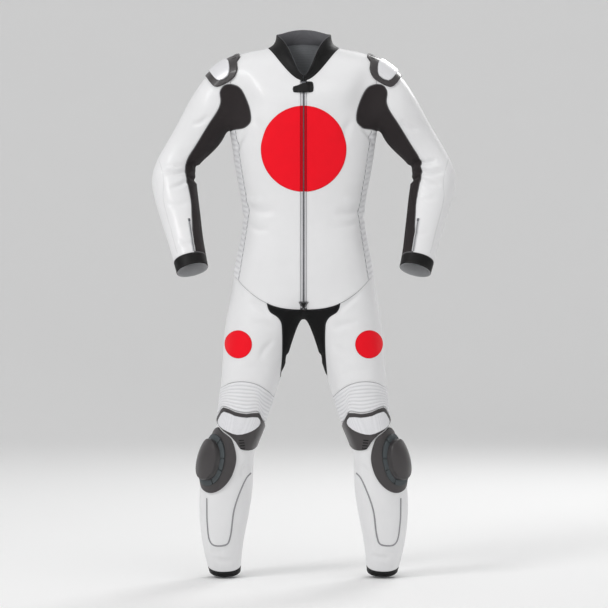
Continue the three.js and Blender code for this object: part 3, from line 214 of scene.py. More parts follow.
# Creases: the side each is on (l, r or lr), the view it is drawn in, its points in that view, how wide and
# how deep it is. Front and back give x and z, the other views y and z. A ridge has a depth above 0.
Crease = namedtuple("Crease", "sides view line wide deep")
CREASES = [
    Crease("l", "front", [(150, -216), (172, -238), (186, -262)], 9, -2.4),
    Crease("r", "front", [(146, -222), (166, -250), (176, -284)], 11, -2.0),
    Crease("lr", "front", [(128, -196), (112, -222), (104, -262)], 14, -1.5),
    Crease("l", "front", [(150, -432), (120, -440), (84, -436)], 12, -2.0),
    Crease("r", "front", [(152, -424), (112, -436), (70, -430)], 13, -2.2),
    Crease("l", "front", [(146, -462), (112, -474), (62, -470)], 10, -1.4),
    Crease("r", "front", [(148, -470), (120, -482), (90, -480)], 9, -1.6),
    Crease("lr", "front", [(156, -402), (128, -410), (102, -404)], 10, 1.2),
    Crease("l", "front", [(88, -700), (118, -672), (150, -648)], 10, -2.2),
    Crease("r", "front", [(86, -706), (112, -684), (138, -668)], 12, -2.4),
    Crease("lr", "front", [(70, -742), (104, -730), (142, -726)], 11, -1.8),
    Crease("l", "front", [(74, -790), (104, -800), (128, -820)], 11, -1.5),
    Crease("r", "front", [(76, -772), (98, -790), (116, -822)], 10, -1.8),
    Crease("l", "front", [(96, -858), (130, -848), (176, -852)], 10, -1.3),
    Crease("r", "front", [(92, -850), (126, -838), (160, -836)], 12, -1.4),
    Crease("l", "front", [(252, -196), (278, -216), (304, -222)], 10, -1.8),
    Crease("r", "front", [(246, -184), (270, -202), (292, -206)], 9, -2.0),
    Crease("l", "front", [(290, -300), (318, -306), (350, -298)], 8, -2.6),
    Crease("r", "front", [(288, -306), (312, -316), (342, -314)], 9, -2.4),
    Crease("lr", "front", [(298, -324), (330, -334), (372, -330)], 8, -2.8),
    Crease("l", "front", [(300, -346), (328, -360), (362, -366)], 9, -2.2),
    Crease("r", "front", [(300, -352), (322, -364), (350, -374)], 8, -2.5),
    Crease("lr", "front", [(300, -312), (330, -320), (366, -314)], 7, 1.4),
    Crease("l", "front", [(296, -392), (324, -402), (352, -400)], 9, -1.3),
    Crease("r", "front", [(300, -410), (330, -420), (358, -416)], 9, -1.4),
    Crease("l", "front", [(282, -484), (304, -494), (330, -490)], 9, -1.2),
    Crease("r", "front", [(276, -512), (300, -520), (326, -512)], 8, -1.4),
    Crease("l", "front", [(150, -1098), (162, -1112), (170, -1138)], 9, -1.5),
    Crease("r", "front", [(148, -1090), (158, -1108), (160, -1132)], 9, -1.7),
    Crease("l", "front", [(172, -1336), (200, -1346), (232, -1342)], 8, -1.6),
    Crease("r", "front", [(176, -1348), (206, -1354), (240, -1346)], 8, -1.5),
    Crease("lr", "front", [(210, -1326), (232, -1332), (250, -1330)], 7, -1.1),
    Crease("l", "back", [(150, -180), (128, -220), (118, -270)], 14, -2.4),
    Crease("r", "back", [(154, -170), (136, -214), (130, -252)], 13, -2.2),
    Crease("l", "back", [(60, -120), (30, -136), (-14, -138)], 14, -1.8),
    Crease("r", "back", [(70, -420), (20, -436), (-44, -432)], 15, -2.6),
    Crease("l", "back", [(132, -448), (70, -462), (6, -456)], 13, -2.4),
    Crease("l", "back", [(126, -406), (96, -414), (58, -410)], 12, -1.8),
    Crease("r", "back", [(136, -480), (104, -492), (60, -494)], 12, -2.0),
    Crease("lr", "back", [(120, -512), (84, -524), (44, -526)], 13, -1.6),
    Crease("lr", "back", [(40, -700), (76, -724), (122, -730)], 12, -2.6),
    Crease("l", "back", [(52, -744), (90, -760), (136, -756)], 12, -2.0),
    Crease("r", "back", [(48, -736), (80, -752), (118, -754)], 11, -2.2),
    Crease("l", "back", [(112, -1010), (158, -1022), (206, -1014)], 10, -3.0),
    Crease("r", "back", [(116, -1004), (160, -1018), (212, -1016)], 10, -3.2),
    Crease("lr", "back", [(124, -1042), (168, -1054), (222, -1048)], 9, -2.8),
    Crease("l", "back", [(134, -1078), (180, -1086), (236, -1076)], 9, -2.2),
    Crease("r", "back", [(130, -1072), (170, -1084), (214, -1082)], 10, -2.4),
    Crease("lr", "back", [(120, -1026), (160, -1036), (208, -1032)], 8, 1.6),
    Crease("l", "back", [(100, -966), (140, -980), (186, -976)], 11, -1.8),
    Crease("r", "back", [(104, -974), (136, -984), (172, -984)], 10, -1.6),
    Crease("l", "back", [(172, -1330), (204, -1340), (238, -1334)], 8, -1.8),
    Crease("r", "back", [(180, -1342), (208, -1348), (236, -1340)], 8, -1.6),
    Crease("l", "back", [(262, -220), (286, -232), (314, -230)], 10, -1.8),
    Crease("r", "back", [(256, -206), (280, -222), (306, -224)], 9, -2.0),
    Crease("lr", "back", [(310, -352), (344, -360), (384, -352)], 12, 1.4),
    Crease("l", "back", [(292, -430), (322, -440), (356, -436)], 10, -1.4),
    Crease("r", "back", [(288, -452), (318, -460), (346, -454)], 10, -1.5),
    Crease("lr", "waist", [(-40, -440), (0, -448), (40, -442)], 11, -1.6),
    Crease("lr", "outer", [(-50, -980), (-10, -1000), (30, -1008)], 10, -1.6),
    Crease("lr", "arm", [(-30, -300), (10, -316), (46, -312)], 8, -2.4),
    Crease("lr", "arm", [(-40, -338), (0, -350), (40, -346)], 8, -2.6),
    Crease("lr", "inner", [(-50, -800), (-10, -816), (36, -812)], 11, -1.8),
    Crease("l", "inner", [(-30, -860), (6, -872), (40, -866)], 10, -1.6),
    Crease("r", "inner", [(-36, -846), (4, -860), (36, -858)], 11, -1.5),
]
CREASE_STEPS = 10
CREASE_STRENGTH = 2.4
CREASE_REACH = 2.6  # in widths, past which a crease has no height
Swell = namedtuple("Swell", "x y z size")  # a slow wave in the cloth: its turn a millimetre, and its height
SWELLS = [
    Swell(0.021, 0.013, 0.017, 0.5), Swell(0.043, -0.027, 0.031, 0.28), Swell(-0.018, 0.051, 0.037, 0.22),
]
SWELL_SHIFT = 9
CREASE_ENDS = 0.7  # how fast a crease fades towards its ends
CREASE_SHOULDER = 0.8  # how much the cloth rises beside a crease


# Plain geometry, on arrays of points in millimetres

TINY = 1e-9
ON_CENTRE = 1e-3
SAME_PLACE = 3  # decimals of a millimetre to which two points are one
CROSSING_ROUNDS = 12
SEAM_SNAP = 0.3  # points this share of an edge from a seam slide onto it
SHARPEST_CORNER = 0.4
Patch = namedtuple("Patch", "points normals faces")


def squared(value, power):
    """A signed power, which rounds a circle's sine or cosine towards a rounded box."""
    return math.copysign(abs(value) ** (2 / power), value)


def unit(vectors):
    size = np.linalg.norm(vectors, axis=-1, keepdims=True)
    return vectors / np.maximum(size, TINY)


def column(rows, name):
    return np.array([getattr(row, name) for row in rows], float)


def at_height(rows, z, name):
    """A column of a table read at some heights."""
    heights = column(rows, "z")
    order = np.argsort(heights)
    return np.interp(z, heights[order], column(rows, name)[order])


def smooth_loop(table, steps=4, closed=True):
    """A centripetal curve through a table's points."""
    points = np.array(table, float)
    count = len(points)
    if closed:
        rows = [[points[(i + k) % count] for k in (-1, 0, 1, 2)] for i in range(count)]
    else:
        ends = np.vstack([2 * points[0] - points[1], points, 2 * points[-1] - points[-2]])
        rows = [ends[i : i + 4] for i in range(count - 1)]
    made = []
    for a, b, c, d in rows:
        gaps = [max(math.dist(*pair) ** 0.5, TINY) for pair in ((a, b), (b, c), (c, d))]
        first = ((b - a) / gaps[0] - (c - a) / (gaps[0] + gaps[1]) + (c - b) / gaps[1]) * gaps[1]
        last = ((c - b) / gaps[1] - (d - b) / (gaps[1] + gaps[2]) + (d - c) / gaps[2]) * gaps[1]
        for t in np.arange(steps) / steps:
            bend = (2 * b - 2 * c + first + last) * t**3 + (3 * c - 3 * b - 2 * first - last) * t**2
            made.append(bend + first * t + b)
    if not closed:
        made.append(points[-1])
    return np.array(made)


def outline_field(loop, steps=4):
    """Distance from a closed outline in the front view, below 0 inside it."""
    corners = smooth_loop(loop, steps) if steps else np.array(loop, float)

    def field(points):
        x, z = points[:, 0], points[:, 2]
        nearest = np.full(len(points), np.inf)
        inside = np.zeros(len(points), bool)
        for (ax, az), (bx, bz) in zip(corners, np.roll(corners, -1, axis=0)):
            dx, dz = bx - ax, bz - az
            t = np.clip(((x - ax) * dx + (z - az) * dz) / max(dx * dx + dz * dz, TINY), 0, 1)
            nearest = np.minimum(nearest, np.hypot(x - ax - t * dx, z - az - t * dz))
            if az != bz:
                inside ^= ((az > z) != (bz > z)) & (x < ax + (z - az) * dx / dz)
        return np.where(inside, -nearest, nearest)

    return field


def disc_field(disc):
    """Distance from a disc in the front view, below 0 inside it."""
    return lambda points: np.hypot(points[:, 0] - disc["x"], points[:, 2] - disc["z"]) - disc["radius"]


def sleeve_middles():
    return np.array([[(r.inner_x + r.outer_x) / 2, r.y, (r.inner_z + r.outer_z) / 2] for r in SLEEVE_RINGS])


def on_sleeve(points):
    """For each point: how far behind the sleeve's middle it is, how far along the sleeve, and how far out."""
    middles = sleeve_middles()
    best = np.full(len(points), np.inf)
    behind, along, out = (np.zeros(len(points)) for _ in range(3))
    done = 0.0
    for a, b in zip(middles, middles[1:]):
        dx, dz = b[0] - a[0], b[2] - a[2]
        size = math.hypot(dx, dz)
        t = np.clip(((points[:, 0] - a[0]) * dx + (points[:, 2] - a[2]) * dz) / size**2, 0, 1)
        gx, gz = points[:, 0] - a[0] - t * dx, points[:, 2] - a[2] - t * dz
        gap = np.hypot(gx, gz)
        closer = gap < best
        best = np.where(closer, gap, best)
        behind = np.where(closer, points[:, 1] - (a[1] + (b[1] - a[1]) * t), behind)
        along = np.where(closer, done + size * t, along)
        out = np.where(closer, (gz * dx - gx * dz) / size, out)
        done += size
    return behind, along, out


def behind_leg(points):
    z = points[:, 2]
    return points[:, 1] - (at_height(LEG_RINGS, z, "front") + at_height(LEG_RINGS, z, "back")) / 2


def body_point(ring, turn):
    across = squared(math.sin(turn), BODY_SQUARENESS)
    along = squared(math.cos(turn), BODY_SQUARENESS)
    return (ring.half * across, -(ring.front if along > 0 else ring.back) * along, ring.z)


def yoke_point(ring, turn, power):
    across, along = squared(math.sin(turn), power), squared(math.cos(turn), power)
    if along > 0:
        z = ring.z_front + (ring.z_side - ring.z_front) * abs(across) ** ring.climb
    else:
        z = ring.z_side + (ring.z_back - ring.z_side) * (1 - across**2)
    return (ring.half * across, -(ring.front if along > 0 else ring.back) * along, z)


def sleeve_point(ring, turn):
    inner = np.array([ring.inner_x, ring.y, ring.inner_z], float)
    outer = np.array([ring.outer_x, ring.y, ring.outer_z], float)
    across = unit(outer - inner)
    tilt = math.radians(ring.tilt)
    forward = np.array([0, -math.cos(tilt), 0]) + np.array([-across[2], 0, across[0]]) * math.sin(tilt)
    side = -squared(math.cos(turn), LIMB_SQUARENESS) * np.linalg.norm(outer - inner) / 2
    front = squared(math.sin(turn), LIMB_SQUARENESS) * ring.depth
    return tuple((inner + outer) / 2 + across * side + forward * front)


def leg_point(ring, turn):
    side = squared(math.sin(turn), LIMB_SQUARENESS) * (ring.outer - ring.inner) / 2
    front = squared(math.cos(turn), LIMB_SQUARENESS) * (ring.back - ring.front) / 2
    height = ring.z + front * math.tan(math.radians(ring.tilt))
    return ((ring.inner + ring.outer) / 2 + side, (ring.front + ring.back) / 2 - front, height)


def make_cage():
    """The cage of quads through the rings: its points, faces and the part that each face belongs to."""
    points, faces, parts, known = [], [], [], {}

    def put(point, side):
        place = tuple(round(c, SAME_PLACE) + 0.0 for c in (point[0] * side, point[1], point[2]))
        if place not in known:
            known[place] = len(points)
            points.append(place)
        return known[place]

    def face(part, corners, side):
        faces.append(corners if side == LEFT else corners[::-1])
        parts.append(PARTS.index(part))

    turns = [math.radians(turn) for turn in BODY_TURNS]
    first, last = ARMHOLE_COLUMNS
    for side in (LEFT, RIGHT):
        rings = [[put(body_point(ring, turn), side) for turn in turns] for ring in BODY_RINGS]
        for i, ring in enumerate(YOKE_RINGS):
            power = BODY_SQUARENESS if i < NECK_RING else NECK_SQUARENESS
            hidden = [i == 0 and first < k < last for k in range(len(turns))]
            rings.append([-1 if h else put(yoke_point(ring, t, power), side) for h, t in zip(hidden, turns)])
        middle = len(BODY_RINGS)
        for row in range(1, len(rings)):
            for k in range(1, len(turns)):
                if row in (middle, middle + 1) and first < k <= last:
                    continue
                part = "collar" if row > middle + NECK_RING else "body"
                low, high = rings[row - 1], rings[row]
                face(part, [low[k - 1], low[k], high[k], high[k - 1]], side)
        low, mid, high = rings[middle - 1 : middle + 2]
        # The armhole's points, from below the arm, up the front and down the back
        loop = [low[3], low[2], mid[2], high[2], high[3], high[4], mid[4], low[4]]
        for ring in SLEEVE_RINGS:
            corners = [put(sleeve_point(ring, turn), side) for turn in SLEEVE_TURNS]
            loop = bridge(loop, corners, "sleeve", face, side)
        loop = rings[0] + [put((0, y, z), side) for y, z in CROTCH]
        for ring in LEG_RINGS:
            corners = [put(leg_point(ring, math.radians(turn)), side) for turn in LEG_TURNS]
            loop = bridge(loop, corners, "leg", face, side)
    return np.array(points), faces, parts


def bridge(loop, following, part, face, side):
    """Joins two loops of the cage with faces, and gives the second loop back."""
    for k in range(len(loop)):
        j = (k + 1) % len(loop)
        face(part, [loop[j], loop[k], following[k], following[j]], side)
    return following


def subdivided(points, faces, parts, levels):
    """Points, normals, quads and parts of the smooth surface that a cage stands for."""
    mesh = bpy.data.meshes.new("cage")
    mesh.from_pydata(points.tolist(), [], faces)
    mesh.polygons.foreach_set("material_index", parts)
    cage = bpy.data.objects.new("cage", mesh)
    bpy.context.scene.collection.objects.link(cage)
    smooth = cage.modifiers.new("smooth", "SUBSURF")
    smooth.levels = smooth.render_levels = levels
    made = cage.evaluated_get(bpy.context.evaluated_depsgraph_get()).to_mesh()
    found = [np.zeros(3 * len(made.vertices)), np.zeros(3 * len(made.vertices))]
    made.vertices.foreach_get("co", found[0])
    made.vertices.foreach_get("normal", found[1])
    quads, owners = np.zeros(4 * len(made.polygons), int), np.zeros(len(made.polygons), int)
    made.polygons.foreach_get("vertices", quads)
    made.polygons.foreach_get("material_index", owners)
    bpy.data.objects.remove(cage)
    bpy.data.meshes.remove(mesh)
    return found[0].reshape(-1, 3), found[1].reshape(-1, 3), quads.reshape(-1, 4), owners


def make_skin():
    """The left half of the smooth skin as triangles, with the part that each belongs to."""
    target, faces, parts = make_cage()
    cage = target.copy()
    for _ in range(FIT_ROUNDS):
        smooth = subdivided(cage, faces, parts, 1)[0]
        cage += target - smooth[: len(cage)]
    points, normals, quads, owners = subdivided(cage, faces, parts, SKIN_LEVELS)
    points[np.abs(points[:, 0]) < ON_CENTRE, 0] = 0
    half = (points[quads][:, :, 0] >= 0).all(axis=1)
    quads, owners = quads[half], owners[half]
    spans = [np.linalg.norm(points[quads[:, k]] - points[quads[:, k + 2]], axis=1) for k in (0, 1)]
    short = spans[0] <= spans[1]
    one = np.where(short[:, None], quads[:, [0, 1, 2]], quads[:, [0, 1, 3]])
    two = np.where(short[:, None], quads[:, [0, 2, 3]], quads[:, [1, 2, 3]])
    labels = np.array(PARTS, dtype="U20")[np.concatenate([owners, owners])]
    return Patch(points, normals, np.vstack([one, two])), labels


def edges_of(faces):
    """Each face's three directed edges."""
    return faces[:, [[0, 1], [1, 2], [2, 0]]].reshape(-1, 2)


def rim_of(faces):
    """The directed edges that only one triangle has."""
    edges = edges_of(faces)
    size = faces.max() + 1
    return edges[~np.isin(edges[:, 0] * size + edges[:, 1], edges[:, 1] * size + edges[:, 0])]


def crossing(a, b, field, start):
    """Where a field changes its sign between pairs of points, as a share of the way."""
    low, high = np.zeros(len(a)), np.ones(len(a))
    for _ in range(CROSSING_ROUNDS):
        middle = (low + high) / 2
        same = field(a + (b - a) * middle[:, None]) * start > 0
        low, high = np.where(same, middle, low), np.where(same, high, middle)
    return (low + high) / 2


def split(patch, field, locked):
    """Cuts triangles along the line where the field is 0. Gives the patch, each triangle's side of the line
    and the triangle that it came from. Points close to the line slide onto it, but for the locked ones."""
    points, normals, faces = (array.copy() for array in patch)
    used = np.unique(faces)
    value = np.zeros(len(points))
    value[used] = field(points[used])
    value[used] = np.where(np.abs(value[used]) < TINY, TINY, value[used])
    edges = np.unique(np.sort(edges_of(faces), axis=1), axis=0)

    def cut_edges():
        a, b = edges[value[edges[:, 0]] * value[edges[:, 1]] < 0].T
        return a, b, crossing(points[a], points[b], field, value[a])

    a, b, share = cut_edges()
    ids, others, shares = np.concatenate([a, b]), np.concatenate([b, a]), np.concatenate([share, 1 - share])
    near = (shares < SEAM_SNAP) & ~locked[ids]
    order = np.argsort(-shares[near])
    ids, others, shares = ids[near][order], others[near][order], shares[near][order, None]
    moved = [array[ids] + (array[others] - array[ids]) * shares for array in (points, normals)]
    points[ids], normals[ids] = moved
    value[ids] = 0
    a, b, share = cut_edges()
    total = len(points)
    points = np.vstack([points, points[a] + (points[b] - points[a]) * share[:, None]])
    normals = np.vstack([normals, unit(normals[a] + (normals[b] - normals[a]) * share[:, None])])
    keys = a * total + b
    order = np.argsort(keys)

    def cut_at(p, q):
        key = np.minimum(p, q) * total + np.maximum(p, q)
        return total + order[np.searchsorted(keys[order], key)]

    signs = np.sign(value[faces])
    crossed = (signs > 0).any(axis=1) & (signs < 0).any(axis=1)
    touching = crossed & (signs == 0).any(axis=1)
    through = crossed & ~touching
    whole = ~crossed
    made = [faces[whole]]
    sides = [np.where((signs[whole] < 0).any(axis=1), -1, 1)]
    sources = [np.flatnonzero(whole)]

    def turned(mask, first):
        rows = np.arange(mask.sum())
        return [faces[mask][rows, (first + k) % 3] for k in range(3)]

    k, p, q = turned(touching, np.argmin(np.abs(signs[touching]), axis=1))
    m = cut_at(p, q)
    for corners, owner in (((k, p, m), p), ((k, m, q), q)):
        made.append(np.stack(corners, axis=1))
        sides.append(np.sign(value[owner]))
        sources.append(np.flatnonzero(touching))
    alone = signs[through] == -np.sign(signs[through].sum(axis=1))[:, None]
    k, p, q = turned(through, np.argmax(alone, axis=1))
    m, n = cut_at(k, p), cut_at(k, q)
    shorter = np.linalg.norm(points[m] - points[q], axis=1) < np.linalg.norm(points[p] - points[n], axis=1)
    halves = [
        ((k, m, n), k),
        ((m, p, np.where(shorter, q, n)), p),
        ((np.where(shorter, m, p), q, n), p),
    ]
    for corners, owner in halves:
        made.append(np.stack(corners, axis=1))
        sides.append(np.sign(value[owner]))
        sources.append(np.flatnonzero(through))
    return Patch(points, normals, np.vstack(made)), np.concatenate(sides), np.concatenate(sources)


def draw_seam(skin, labels, chosen, field, outside=None, inside=None):
    """Draws a seam over the chosen panels of the skin, and names the panels on its two sides."""
    mask = np.isin(labels, chosen)
    points, _, faces = skin
    locked = points[:, 0] < TINY
    locked[np.unique(rim_of(faces))] = True
    locked[np.intersect1d(faces[mask], faces[~mask])] = True
    part, sides, sources = split(Patch(points, skin.normals, faces[mask]), field, locked)
    old = labels[mask][sources]
    named = np.where(sides > 0, outside or old, inside or old)
    faces = np.vstack([faces[~mask], part.faces])
    return Patch(part.points, part.normals, faces), np.concatenate([labels[~mask], named])


def cuff_field(points):
    """How far below the cuff band's upper edge a point lies."""
    before, end = sleeve_middles()[-2:]
    return (points - end) @ unit(end - before) + CUFF_BAND


def hem_field(points):
    ankle = LEG_RINGS[-1]
    return points[:, 2] - ankle.z + behind_leg(points) * math.tan(math.radians(ankle.tilt)) - HEM_BAND


def line_at(line, x):
    return np.interp(x, [p[0] for p in line], [p[1] for p in line])


def lay_out_panels():
    """Draws every seam on the skin, one after another."""
    skin, labels = make_skin()
    front, back = outline_field(STRETCH_FRONT), outline_field(STRETCH_BACK)
    crotch = outline_field(CROTCH_PANEL)

    def hip(p):
        share = (np.maximum(p[:, 0], 0) / HIP_SEAM["half"]) ** HIP_SEAM["curve"]
        return p[:, 2] - HIP_SEAM["middle"] - (HIP_SEAM["side"] - HIP_SEAM["middle"]) * share

    def armhole(p):
        return p[:, 0] - ARMHOLE_SEAM["x"] - (ARMHOLE_SEAM["z"] - p[:, 2]) * ARMHOLE_SEAM["lean"]

    def stretch(p):
        return np.where(on_sleeve(p)[0] < 0, front(p), back(p))

    def side(p):
        share = np.clip(p[:, 2] / STRIP["start"], 0, 1)
        return p[:, 1] - SHOULDER_SEAM_Y - (SIDE_SEAM_Y - SHOULDER_SEAM_Y) * share

    def strip(p):
        edge = at_height(BODY_RINGS, p[:, 2], "half") - STRIP["width"] - p[:, 0]
        return np.where(p[:, 2] > STRIP["start"], ZIP_HALF, edge)

    def opening(p):
        return np.where(p[:, 1] > 0, ZIP_HALF, p[:, 0] - COLLAR_GAP / 2)

    def above(line):
        return lambda p: p[:, 2] - line_at(smooth_loop(line, closed=False), p[:, 0])

    seams = [
        (["body", "leg"], hip, "upper", "lower"),
        (["upper", "sleeve"], armhole, "arm", "trunk"),
        (["trunk", "arm"], stretch, None, "stretch"),
        (["stretch", "arm"], cuff_field, "cuff", None),
        (["arm"], lambda p: on_sleeve(p)[0] - SLEEVE_SEAM_Y, "sleeve_back", "sleeve_front"),
        (["trunk"], side, "back", "front"),
        (["front"], strip, None, "side_strip"),
        (["front"], lambda p: p[:, 0] - ZIP_HALF, None, "slot"),
        (["collar"], opening, None, "scrap"),
        (["lower"], crotch, "leg", "crotch_panel"),
        (["leg"], hem_field, None, "hem"),
        (["leg"], lambda p: behind_leg(p) - LEG_SEAM_Y, "leg_back", "thigh"),
        (["thigh"], above(KNEE_TOP), None, "knee_ribs"),
        (["knee_ribs"], above(KNEE_BOTTOM), None, "shin"),
    ]
    for chosen, field, outside, inside in seams:
        skin, labels = draw_seam(skin, labels, chosen, field, outside, inside)
    return skin, labels


def compact(patch):
    used, faces = np.unique(patch.faces, return_inverse=True)
    return Patch(patch.points[used], patch.normals[used], faces.reshape(-1, 3))


def refined(patch, times):
    """Cuts each triangle in four, times over."""
    points, normals, faces = patch
    for _ in range(times):
        edges, back = np.unique(np.sort(edges_of(faces), axis=1), axis=0, return_inverse=True)
        middle = len(points) + back.reshape(-1, 3)
        points = np.vstack([points, points[edges].mean(axis=1)])
        normals = np.vstack([normals, unit(normals[edges].mean(axis=1))])
        (a, b, c), (d, e, f) = faces.T, middle.T
        faces = np.vstack([np.stack(t, axis=1) for t in ((a, d, f), (d, b, e), (f, e, c), (d, e, f))])
    return compact(Patch(points, normals, faces))


def mirrored(patch):
    return Patch(patch.points * FLIP, patch.normals * FLIP, patch.faces[:, ::-1])


def both_sides(patch):
    """A half joined with its mirror image along the centre line."""
    other = mirrored(patch)
    count = len(patch.points)
    index = np.where(np.abs(patch.points[:, 0]) < TINY, np.arange(count), np.arange(count) + count)
    faces = np.vstack([patch.faces, index[other.faces]])
    normals = np.vstack([patch.normals, other.normals])
    normals[:count][np.abs(patch.points[:, 0]) < TINY, 0] = 0
    return compact(Patch(np.vstack([patch.points, other.points]), unit(normals), faces))


# Creases and the cloth's shells

View = namedtuple("View", "axis start way")  # the axis looked along, where the look starts, and its way
VIEWS = {
    "front": View(1, -500, 1), "back": View(1, 500, -1), "outer": View(0, 500, -1),
    "waist": View(0, 225, -1), "arm": View(0, 225, 1), "inner": View(0, 0, 1),
}
SUIT = {}  # what is worked out once: panels, the surface to cast on, the creases' lines


def cast(view, u, v, side=LEFT):
    """The skin's point and outward direction at (u, v) of a view, or None where it misses."""
    axis, start, way = VIEWS[view]
    origin = (u * side, start, v) if axis == 1 else (start * side, u, v)
    toward = (0, way, 0) if axis == 1 else (way * side, 0, 0)
    point, normal, _, _ = SUIT["surface"].ray_cast(Vector(origin), Vector(toward))
    return point and (np.array(point), np.array(normal))


def cast_line(view, table, side=LEFT, steps=4):
    """A table's curve laid on the skin: points and outward directions."""
    found = [cast(view, u, v, side) for u, v in smooth_loop(table, steps, closed=False)]
    found = [pair for pair in found if pair]
    return np.array([p for p, _ in found]), np.array([n for _, n in found])


def panels():
    """Every panel of the suit by name, worked out once, with the creases' lines."""
    if SUIT:
        return SUIT["panels"]
    skin, labels = lay_out_panels()
    made = {}
    for name in np.unique(labels):
        patch = compact(Patch(skin.points, skin.normals, skin.faces[labels == name]))
        if name in CENTRED:
            made[str(name)] = both_sides(patch)
        else:
            made[name + "_l"], made[name + "_r"] = patch, mirrored(patch)
    half = compact(skin)
    other = mirrored(half)
    faces = np.vstack([half.faces, other.faces + len(half.points)])
    points = np.vstack([half.points, other.points])
    SUIT["surface"] = BVHTree.FromPolygons(points.tolist(), faces.tolist())
    SUIT["panels"] = made
    sides = {"l": LEFT, "r": RIGHT}
    SUIT["creases"] = [
        (cast_line(row.view, row.line, sides[side], CREASE_STEPS)[0], row.wide, row.deep)
        for row in CREASES
        for side in row.sides
    ]
    return made


def relief(points):
    """How far the creases and the cloth's own unevenness move each point out."""
    height = sum(size * np.sin(points @ np.array(wave) + SWELL_SHIFT * size) for *wave, size in SWELLS)
    for line, wide, deep in SUIT["creases"]:
        reach = wide * CREASE_REACH
        near = ((points > line.min(axis=0) - reach) & (points < line.max(axis=0) + reach)).all(axis=1)
        if not near.any():
            continue
        some, best = points[near], np.full(near.sum(), np.inf)
        share = np.zeros(near.sum())
        for i, (a, b) in enumerate(zip(line, line[1:])):
            t = np.clip((some - a) @ (b - a) / max((b - a) @ (b - a), TINY), 0, 1)
            gap = np.linalg.norm(some - a - t[:, None] * (b - a), axis=1)
            closer = gap < best
            best, share = np.where(closer, gap, best), np.where(closer, (i + t) / (len(line) - 1), share)
        u = (best / wide) ** 2
        across = (1 - CREASE_SHOULDER * u) * np.exp(-u)
        height[near] += CREASE_STRENGTH * deep * np.sin(np.pi * share) ** CREASE_ENDS * across
    return height * bpy.context.scene.race_suit.creases


def pulled(patch):
    """The rim's directed edges, and for each point of the rim the way into the piece, longer at corners."""
    rim = rim_of(patch.faces)
    inward = unit(np.cross(patch.normals[rim[:, 0]], patch.points[rim[:, 1]] - patch.points[rim[:, 0]]))
    pull = np.zeros_like(patch.points)
    for end in (0, 1):
        np.add.at(pull, rim[:, end], inward)
    size = np.linalg.norm(pull, axis=1, keepdims=True)
    return rim, pull / np.maximum(size, TINY) / np.maximum(size / 2, SHARPEST_CORNER)


Shell = namedtuple("Shell", "points groups slots seam")
SEAM_EDGE = [(1.35, 0), (0.55, 0.35), (0.15, 1.3)]  # inset and drop: a turned edge that dips into the seam
PIPED_EDGE = [(2.2, 0), (1.2, 0.1), (0.15, 1.3)]
MOULDED_EDGE = [(1.6, 0), (0.6, 0.45), (0, 1.6)]


def shell(patch, top, bottom, profile=SEAM_EDGE, inside=1, painted_groove_shade=None):
    """Closes a patch into a wall with a rounded rim. `top` and `bottom` place its two faces."""
    rim, pull = pulled(patch)
    normals = patch.normals
    count = len(patch.points)
    ids = np.unique(rim)
    rank = np.zeros(count, int)
    rank[ids] = np.arange(len(ids))

    def ring(inset, drop, chosen):
        base, n = patch.points[chosen] + pull[chosen] * inset, normals[chosen]
        high, low = top(base, n), bottom(base, n)
        return high - unit(high - low) * drop

    everything = np.arange(count)
    points = [ring(*profile[0], everything)]
    low = bottom(patch.points + pull * profile[-1][0], normals)
    points += [low] + [ring(inset, drop, ids) for inset, drop in profile[1:]]
    a, b = rim.T
    groups = [patch.faces]
    last_a, last_b = a, b
    for k in range(1, len(profile)):
        offset = 2 * count + (k - 1) * len(ids)
        next_a, next_b = rank[a] + offset, rank[b] + offset
        groups.append(np.stack([last_b, last_a, next_a, next_b], axis=1))
        last_a, last_b = next_a, next_b
    groups.append(np.stack([last_b, last_a, a + count, b + count], axis=1))
    groups.append(patch.faces[:, ::-1] + count)
    slots = [0] * len(profile) + [inside, inside]
    # Seam values: 0 on the faces, rising to 1 round the rim where it dips into the seam, where the materials
    # paint shade. A ribbed panel's top face also gets painted shade in its grooves.
    seam = [np.zeros(count) if painted_groove_shade is None else painted_groove_shade(patch.points), np.zeros(count)]
    seam += [np.full(len(ids), k / (len(profile) - 1)) for k in range(1, len(profile))]
    return Shell(np.vstack(points), groups, slots, np.concatenate(seam))


def in_second(made):
    """The same shell in the piece's second material."""
    return made._replace(slots=[1] * len(made.slots))


def joined(shells):
    """Several shells as one."""
    groups, slots, total = [], [], 0
    for part in shells:
        groups += [group + total for group in part.groups]
        slots += part.slots
        total += len(part.points)
    seam = np.concatenate([part.seam for part in shells])
    return Shell(np.vstack([part.points for part in shells]), groups, slots, seam)


SMOOTH_ANGLE = math.radians(48)


def add_object(name, made, materials):
    """A mesh object from points in millimetres, with its materials and each point's seam value, which paints
    shade near its seams and in rib grooves.
    """
    mesh = bpy.data.meshes.new(name)
    sizes = np.concatenate([np.full(len(group), group.shape[1]) for group in made.groups])
    mesh.vertices.add(len(made.points))
    mesh.vertices.foreach_set("co", (made.points * MM).ravel())
    corners = np.concatenate([group.ravel() for group in made.groups])
    mesh.loops.add(len(corners))
    mesh.loops.foreach_set("vertex_index", corners)
    mesh.polygons.add(len(sizes))
    mesh.polygons.foreach_set("loop_start", np.concatenate([[0], np.cumsum(sizes)[:-1]]))
    slots = np.concatenate([np.full(len(g), s) for g, s in zip(made.groups, made.slots)])
    mesh.update(calc_edges=True)
    mesh.polygons.foreach_set("material_index", slots)
    mesh.attributes.new("seam", "FLOAT", "POINT").data.foreach_set("value", made.seam)
    for material in materials:
        mesh.materials.append(MADE[material])
    piece = bpy.data.objects.new(name, mesh)
    bpy.context.scene.collection.objects.link(piece)
    finish_mesh(piece)
    return piece


def select_only(piece):
    bpy.ops.object.select_all(action="DESELECT")
    piece.select_set(True)
    bpy.context.view_layer.objects.active = piece


def finish_mesh(piece):
    select_only(piece)
    bpy.ops.object.shade_smooth_by_angle(angle=SMOOTH_ANGLE)


